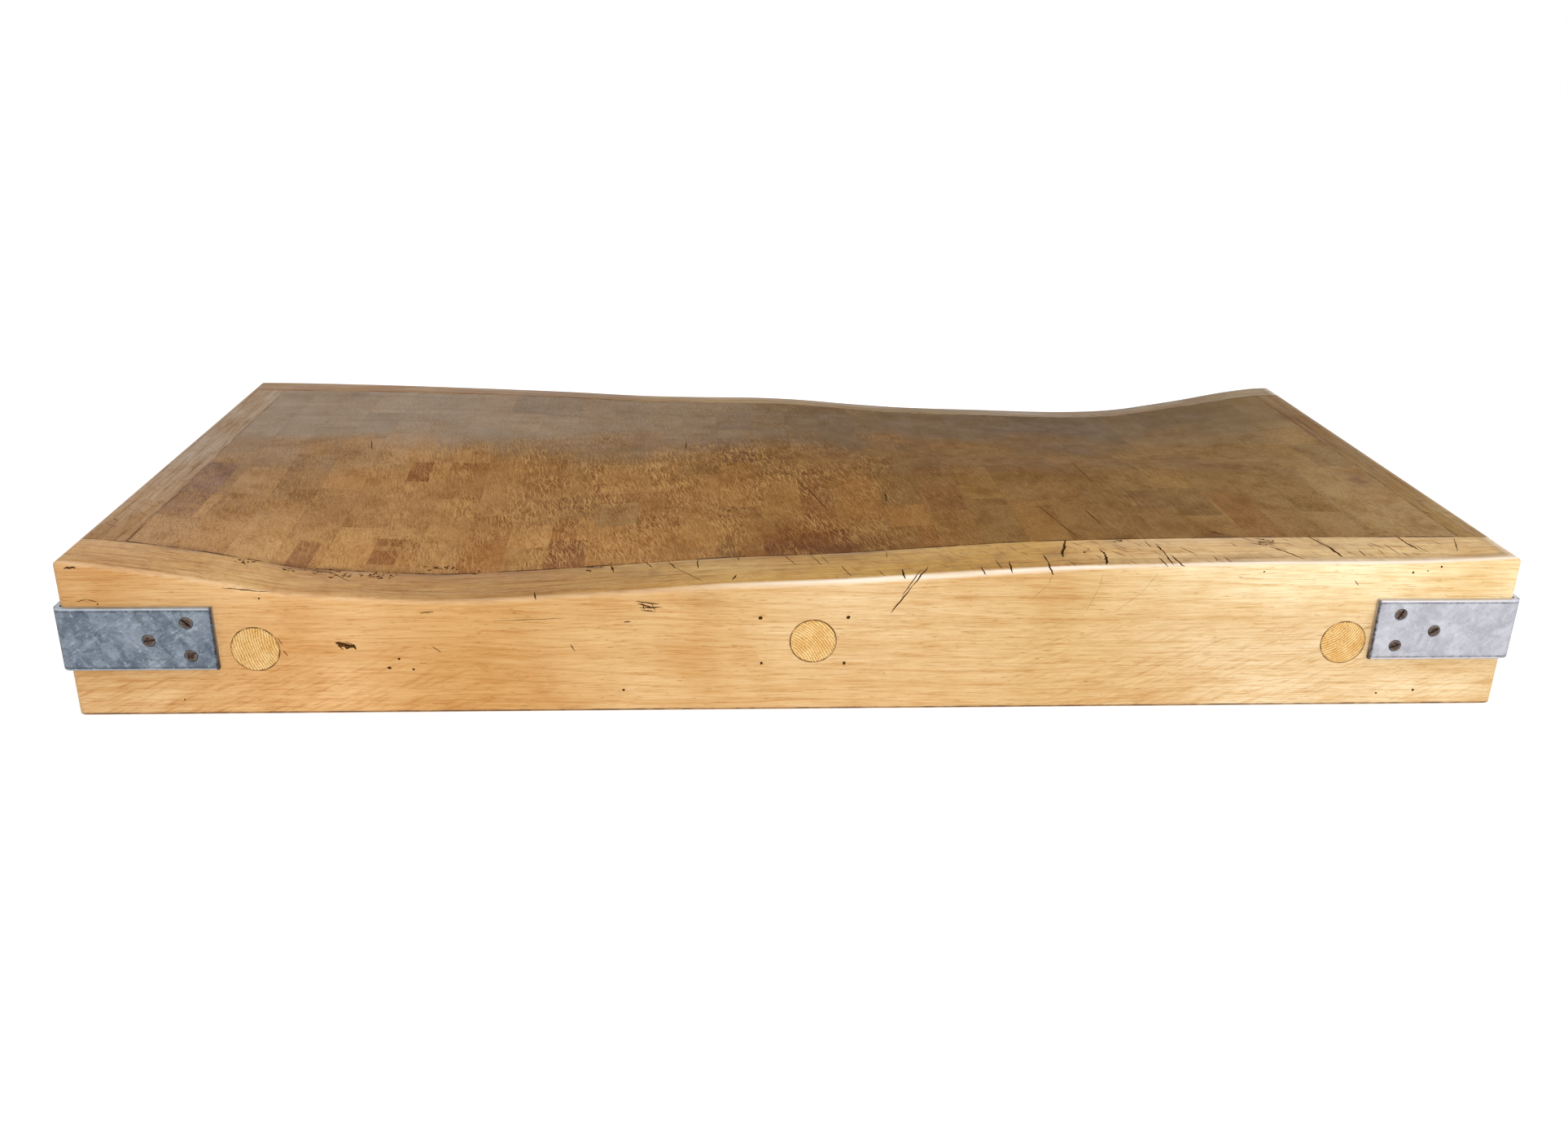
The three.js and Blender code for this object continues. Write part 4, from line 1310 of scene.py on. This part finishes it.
def paint(mesh, values_at, *about):
    """Stores what a function gives for each point of a mesh, by name."""
    rows = [values_at(vertex.co, *about) for vertex in mesh.vertices]
    for name, first in rows[0].items():
        kind, key = STORED[len(first) if isinstance(first, tuple) else 1]
        values = [row[name] for row in rows]
        if isinstance(first, tuple):
            values = [part for value in values for part in value]
        mesh.attributes.new(name, kind, "POINT").data.foreach_set(key, values)


# Where the pale band of wear and painted highlight runs along an upper edge
WEAR_AND_HIGHLIGHT_PLACE = 2.2 * MM
WEAR_AND_HIGHLIGHT_DRIFT = 1.3 * MM
WEAR_AND_HIGHLIGHT_REACH = 1.9 * MM
FRINGE_REACH = 7 * MM
# Heights of the painted shadow along a board's foot
FOOT_SHADOW_PLACES = (2.6 * MM, 1.4 * MM, 0.5 * MM)
END_FACE = 0.05 * MM


def turned_up(x, y):
    """How far a board's outside faces up, from 0 on its upright face to 1 on its top."""
    share = min(1, distance_inside(x, y) / ARRIS_RADIUS)
    return math.sqrt(1 - (1 - share) ** 2)


def top_share_at(x, y, z):
    return smooth_step(turned_up(x, y), 0.75, 0.97) if z > UPPER_PART else 0


def arris_wear_and_highlight(x, y, z):
    """Where an upper edge is rubbed pale, with a painted highlight along it."""
    place = WEAR_AND_HIGHLIGHT_PLACE + WEAR_AND_HIGHLIGHT_DRIFT * smooth_step(x, 0.1, 0.4)
    away = abs(distance_inside(x, y) - place) / WEAR_AND_HIGHLIGHT_REACH
    return max(0, 1 - away) ** 0.5 if z > UPPER_PART else 0


def joint_at(distance, z):
    return smooth_step(distance, JOINT_EDGE, JOINT_DARK) if z > UPPER_PART else 0


def rail_values(point):
    x, y, z = point
    on_long_side = float(HALF_LENGTH - abs(x) > END_FACE)
    top_share = on_long_side * top_share_at(x, y, z)
    pale = 1 + 0.16 * smooth_step(x, 0.15, 0.45) * smooth_step(z, UPPER_PART, 1.75 * UPPER_PART)
    face = [part * pale ** power for part, power in zip(tone_along(RAIL_TONES, x), (1, 1.6, 2))]
    dull = BACK_DULL - 0.2 * smooth_step(x, -0.1, 0.2) if y > 0 else 1
    flat = [part * dull for part in tone_along(TOP_TONES, x)]
    fringe = max(0, 1 - abs(distance_inside(x, y) - 1.5 * ARRIS_RADIUS) / FRINGE_REACH)
    fringe *= 0.6 * smooth_step(x, 0, 0.12) * smooth_step(turned_up(x, y), 0.95, 1) * float(z > UPPER_PART)
    foot_top, foot_full, foot_low = FOOT_SHADOW_PLACES
    # A painted shadow along the foot of each board, stored with the grime
    foot_shadow = 1.8 * smooth_step(z, foot_top, foot_full) * smooth_step(z, 0, foot_low)
    return {
        "tint": (*blend(face, flat, top_share), 1),
        # Wear and a painted highlight along the arris, stronger towards the right
        "wear_and_highlight": on_long_side * arris_wear_and_highlight(x, y, z) * (0.16 + 0.84 * smooth_step(x, -0.15, 0.05)),
        "grime_and_shade": on_long_side * (spots_at(point) + fringe + foot_shadow),
        "joint": on_long_side * joint_at(min(abs(y - CORE_FRONT), abs(y - CORE_BACK)), z),
        "top": top_share,
    }


def end_board_values(point):
    x, y, z = point
    near, far = (LEFT_BOARD_NEAR, LEFT_BOARD_FAR) if x < 0 else (RIGHT_BOARD_NEAR, RIGHT_BOARD_FAR)
    flat = blend(near, far, smooth_step(y, -0.2, 0.05))
    top_share = top_share_at(x, y, z)
    return {
        "tint": (*blend(tone_along(RAIL_TONES, x), flat, top_share), 1),
        # Wear and a painted highlight along the arris, fainter on the end boards
        "wear_and_highlight": arris_wear_and_highlight(x, y, z) * 0.3,
        "grime_and_shade": spots_at(point),
        "joint": 0.6 * joint_at(min(abs(x - CORE_LEFT), abs(x - CORE_RIGHT)), z),
        "top": top_share,
    }


# Where the patina and its painted sheen begin on the core
PATINA_AND_SHEEN_START = -15 * MM
PATINA_AND_SHEEN_SHIFTS = (55 * MM, -40 * MM)
PATINA_AND_SHEEN_STRAYS = (75 * MM, 25 * MM)
PATINA_AND_SHEEN_REACH = (10 * MM, 115 * MM)


def patina_and_sheen_at(x, y):
    """Dull grey polish on the far part of the face, that fewer cuts have reached, with a painted sheen on
    it.
    """
    stray = noise.noise(Vector((x * 9, y * 14, 0))) * PATINA_AND_SHEEN_STRAYS[0]
    stray += noise.noise(Vector((x * 40, y * 30, 5))) * PATINA_AND_SHEEN_STRAYS[1]
    start = PATINA_AND_SHEEN_START + PATINA_AND_SHEEN_SHIFTS[0] * smooth_step(x, -0.12, 0.12)
    start += PATINA_AND_SHEEN_SHIFTS[1] * smooth_step(x, -0.4, -0.47)
    return smooth_step(y + stray, start - PATINA_AND_SHEEN_REACH[0], start + PATINA_AND_SHEEN_REACH[1])


def core_tone(stave, x, y):
    patina_and_sheen = patina_and_sheen_at(x, y)
    # Near tones, blended into far tones of patina and painted sheen
    base = blend(tone_along(NEAR_TONES, x), tone_along(FAR_TONES, x), patina_and_sheen)
    strength = 0.86 + 0.4 * noise.noise(Vector((x * 70, y * 70, 9 * stave["seed"])))
    tone = blend((1, 1, 1), stave["tone"], strength * (1 - 0.25 * patina_and_sheen))
    lift = 1 + (level_along(FRONT_LIFT, x) - 1) * smooth_step(y, -0.11, -0.17)
    used = smooth_step(y, -0.07, -0.01) * smooth_step(y, 0.11, 0.05) * smooth_step(x, -0.33, -0.22)
    middle = blend((1, 1, 1), MIDDLE_BROWN, used)
    return tuple(b * t * m * lift for b, t, m in zip(base, tone, middle))


def stave_values(point, stave):
    x, y, _ = point
    left, right, front, back = (stave[side] for side in ("left", "right", "front", "back"))
    to_edge = min(x - left, right - x, y - front, back - y)
    seam = 0.2 if to_edge < 2 * STAVE_GAP else 0
    at_side = 0.5 * smooth_step(min(x - CORE_LEFT, CORE_RIGHT - x), STAVE_RIM, 0)
    at_rail = smooth_step(min(y - CORE_FRONT, CORE_BACK - y), STAVE_RIM, STAVE_EDGE / 2)
    pith_x, pith_y = stave["pith"]
    return {
        "tint": (*core_tone(stave, x, y), 1),
        # Patina and painted sheen, for the material
        "patina_and_sheen": patina_and_sheen_at(x, y),
        "grime_and_shade": spots_at(point),
        "joint": max(seam, at_side, at_rail),
        "pith": (pith_x - (left + right) / 2, pith_y - (front + back) / 2, stave["seed"]),
    }


PLUG_PITHS = {"left": (-60 * MM, -14 * MM), "middle": (34 * MM, 30 * MM), "right": (22 * MM, -26 * MM)}
PLUG_GAP = 0.2 * MM
PLUG_RIM = 1.1 * MM
PLUG_EASE = 0.3 * MM
PLUG_INSETS = (PLUG_RIM, PLUG_RIM / 2, PLUG_EASE)
PLUG_SIDES = 96


def plug_values(point, centre, radius, pith):
    away = math.hypot(point.x - centre.x, point.z - centre.z)
    return {
        "joint": float(away > radius - PLUG_RIM * 0.6),
        "pith": (pith[0] - centre.x, 0, pith[1] - centre.z),
    }


# Places of a strap's painted shade and painted highlight
BEND_EASE = 0.5 * MM
EDGE_HIGHLIGHT = (1.6 * MM, 0.9 * MM)
EDGE_SHADE_LINE = (2.2 * MM, 0.9 * MM)
END_SHADOW_LINE = (1.9 * MM, 0.9 * MM)
FOOT_SHADE_LINE = (0.6 * MM, 0.1 * MM)


def strap_values(point, low, high):
    """Painted shade in dark lines along the edges, round the bend, at the ends and at the foot, and a
    painted highlight in a light line on the edges.
    """
    x, y, z = point
    end_x = high.x if low.x < 0 else low.x
    on_face = abs(y) > HALF_DEPTH + STRAP_THICKNESS / 2
    from_end = abs(x - end_x) if on_face else 1
    from_bottom = z - low.z
    from_edge = min(high.z - z, from_bottom)
    # Painted shade: a dark line along each edge, one round the bend, one at the free end and one at the foot
    line = 0.85 * max(0, 1 - abs(from_edge - EDGE_SHADE_LINE[0]) / EDGE_SHADE_LINE[1])
    bend = 0.7 * smooth_step(abs(x), HALF_LENGTH + BEND_EASE, HALF_LENGTH + STRAP_BEND)
    bend *= smooth_step(abs(y), HALF_DEPTH - STRAP_BEND, HALF_DEPTH)
    end_shadow_line = 1.2 * smooth_step(from_end, *END_SHADOW_LINE)
    foot_shade_line = 0.9 * smooth_step(from_bottom, *FOOT_SHADE_LINE)
    dark = max(line, bend, end_shadow_line, foot_shade_line)
    # A painted highlight in a light line on the edges, clear of the shade
    return {"grime_and_shade": dark, "wear_and_highlight": 0.75 * smooth_step(from_edge, *EDGE_HIGHLIGHT) * (1 - min(1, dark))}


# Building

BORE_GAP = 0.12 * MM
BORE_DEPTHS = {"front": 29 * MM, "back": 26 * MM}
SIDES = {"front": -1, "back": 1}


def bore_mesh(side, bolt):
    """A round hole round a plug, deep enough for it and the bolt end behind."""
    low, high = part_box(f"{side}_plug_{bolt}")
    radius = (high.x - low.x) / 2 + BORE_GAP
    outer = SIDES[side] * (HALF_DEPTH + OVERRUN)
    inner = SIDES[side] * (HALF_DEPTH - BORE_DEPTHS[side])
    mesh = turned_mesh("bore", [(0, outer), (radius, outer), (radius, inner), (0, inner)], PLUG_SIDES)
    mesh.transform(Matrix.Translation(((low.x + high.x) / 2, 0, (low.z + high.z) / 2)))
    return mesh


def wood_tree(parts):
    """The wood's surface before it is carved, to place marks on."""
    points, faces = [], []
    for more_points, more_faces in parts:
        offset = len(points)
        points += [Vector(point) for point in more_points]
        faces += [[i + offset for i in face] for face in more_faces]
    return BVHTree.FromPolygons(points, faces)


def mesh_parts(mesh):
    return [vertex.co.copy() for vertex in mesh.vertices], [list(face.vertices) for face in mesh.polygons]


def build_wood(rail_wood, end_wood, core_wood):
    """Boards and core: shaped, carved, painted and put in place."""
    rails = {side: rail_mesh(f"{side}_board", SIDES[side]) for side in SIDES}
    ends = {"left": end_board_mesh("left_board", -1), "right": end_board_mesh("right_board", 1)}
    staves = all_staves()
    parts = [mesh_parts(mesh) for mesh in (*rails.values(), *ends.values())]
    parts += [stave_mesh_parts(stave) for stave in staves]
    cutters = all_cutters(wood_tree(parts))
    bores = [bore_mesh(side, bolt) for side in SIDES for bolt in BOLTS]
    for side, mesh in rails.items():
        mesh = difference(carved(mesh, cutters, rail_wood, "MANIFOLD"), bores)
        paint(mesh, rail_values)
        shade(mesh)
        add_piece(f"{side}_board", mesh, rail_wood, f"{side}_rail")
    for side, mesh in ends.items():
        mesh = carved_one_by_one(mesh, cutters, end_wood)
        paint(mesh, end_board_values)
        shade(mesh)
        add_piece(f"{side}_board", mesh, end_wood, f"{side}_end_board")
    for number, node in enumerate(SECTIONS):
        low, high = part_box(node)
        meshes = []
        for stave in staves:
            if not low.x < (stave["left"] + stave["right"]) / 2 < high.x:
                continue
            mesh = new_mesh("stave", *stave_mesh_parts(stave))
            mesh = carved_one_by_one(mesh, cutters, core_wood)
            paint(mesh, stave_values, stave)
            meshes.append(mesh)
        name = f"stave_layers_{number + 1:02d}"
        mesh = joined_mesh(name, meshes)
        shade(mesh)
        add_piece(name, mesh, core_wood, node)


def build_plugs(material):
    for side in SIDES:
        for bolt in BOLTS:
            node = f"{side}_plug_{bolt}"
            low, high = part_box(node)
            centre = (low + high) / 2
            radius = (high.x - low.x) / 2 - PLUG_GAP / 2
            half = [(0, 0), *((radius - inset, 0) for inset in PLUG_INSETS), (radius, PLUG_EASE)]
            profile = [(reach, low.y + inset) for reach, inset in half]
            profile += [(reach, high.y - inset) for reach, inset in half[::-1]]
            mesh = turned_mesh(node, profile, PLUG_SIDES)
            mesh.transform(Matrix.Translation((centre.x, 0, centre.z)))
            paint(mesh, plug_values, centre, radius, PLUG_PITHS[bolt])
            shade(mesh)
            add_piece(f"{side}_dowel_{bolt}", mesh, [material], node)


def build_straps(steels, screw_material):
    screw = screw_mesh()
    for corner in CORNERS:
        node = f"corner_strap_{corner}"
        low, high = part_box(node)
        mesh = strap_mesh(node, high.z - low.z)
        mesh.transform(corner_matrix(corner))
        sinks = []
        for number in range(1, 1 + 2 * SCREWS_IN_LEG):
            place = screw_matrix(corner, number)
            sink = sink_mesh()
            sink.transform(place)
            sinks.append(sink)
            own = screw.copy()
            own.transform(place)
            shade(own)
            end = f"screw_{corner}_{number}"
            add_piece(f"slotted_{end}", own, [screw_material], f"strap_{end}")
        mesh = difference(mesh, sinks)
        shade(mesh)
        paint(mesh, strap_values, low, high)
        add_piece(f"bent_strap_{corner}", mesh, [steels[corner.split("_")[1]]], node)


def finish_bolts(material):
    for name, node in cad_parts.items():
        if name.startswith("tie_bolt"):
            node.data.materials.clear()
            node.data.materials.append(material)


# Floor, light and background

FLOOR_HALF = 9
FLOOR_GAP = 0.2 * MM
FLOOR_GLOW = 0.56
FLOOR_COLOUR = (0.9, 0.9, 0.9)
AMBIENT = 0.55


def seen_white(nodes):
    """One for rays that see the background: from the camera, or through gloss or glass."""
    path = nodes.node("LightPath").outputs
    seen = nodes.math("MAXIMUM", path["Is Camera Ray"], path["Is Glossy Ray"])
    return nodes.math("MAXIMUM", seen, path["Is Transmission Ray"])


def add_floor():
    mesh = bpy.data.meshes.new("floor")
    corners = [(x * FLOOR_HALF, y * FLOOR_HALF, 0) for x, y in ((-1, -1), (1, -1), (1, 1), (-1, 1))]
    mesh.from_pydata(corners, [], [range(4)])
    floor = linked("floor", mesh)
    floor.location.z = -FLOOR_GAP
    material = bpy.data.materials.new("floor_white")
    nodes = Nodes(material)
    nodes.tree.nodes.clear()
    matte = nodes.node("BsdfDiffuse", Color=FLOOR_COLOUR)
    glow = nodes.node("Emission", Strength=nodes.product(seen_white(nodes), FLOOR_GLOW))
    both = nodes.node("AddShader", matte.outputs[0], glow.outputs[0])
    nodes.node("OutputMaterial", Surface=both.outputs[0])
    mesh.materials.append(material)


def add_world():
    world = bpy.data.worlds.new("studio")
    bpy.context.scene.world = world
    nodes = Nodes(world)
    level = nodes.node("MapRange", seen_white(nodes), To_Min=AMBIENT, To_Max=1)
    background = nodes.tree.nodes["Background"]
    nodes.feed(background.inputs["Color"], (1, 1, 1))
    nodes.feed(background.inputs["Strength"], level.outputs[0])


def add_lamp(name, place, target, size, watts):
    data = bpy.data.lights.new(name, "AREA")
    data.shape = "RECTANGLE"
    data.size, data.size_y = size
    data.energy = watts
    lamp = linked(name, data)
    lamp.location = place
    lamp.rotation_mode = "QUATERNION"
    lamp.rotation_quaternion = (Vector(place) - Vector(target)).to_track_quat("Z", "Y")


# Each lamp's place, target and size in metres, and its watts
LAMPS = {
    "front_softbox": ((0.45, -2.6, 1.0), (0.05, -0.2, 0.06), (2.2, 1.2), 28),
    "overhead": ((0.75, -0.85, 2.0), (0.1, -0.1, 0.1), (1.3, 0.5), 12),
}


def main():
    add_camera()
    crack = crack_wood()
    rail = long_grain("rail_grain", (0, 0, 0), 0.25)
    end = long_grain("end_board_grain", (0, 0, math.pi / 2), 0.05)
    build_wood([rail, crack], [end, crack], [chopping_wood(), crack])
    build_plugs(plug_wood())
    steels = {
        "left": strap_steel("dull_zinc", *LEFT_ZINC, 0.42, 0.6),
        "right": strap_steel("bright_zinc", *RIGHT_ZINC, 0.38, 0.55),
    }
    build_straps(steels, plain_steel("screw_brown", *SCREW_BROWNS, 0.4))
    finish_bolts(plain_steel("bolt_grey", *BOLT_GREYS, 0.45))
    add_floor()
    add_world()
    for name, lamp in LAMPS.items():
        add_lamp(name, *lamp)
    bpy.context.scene.view_settings.view_transform = "Standard"


main()
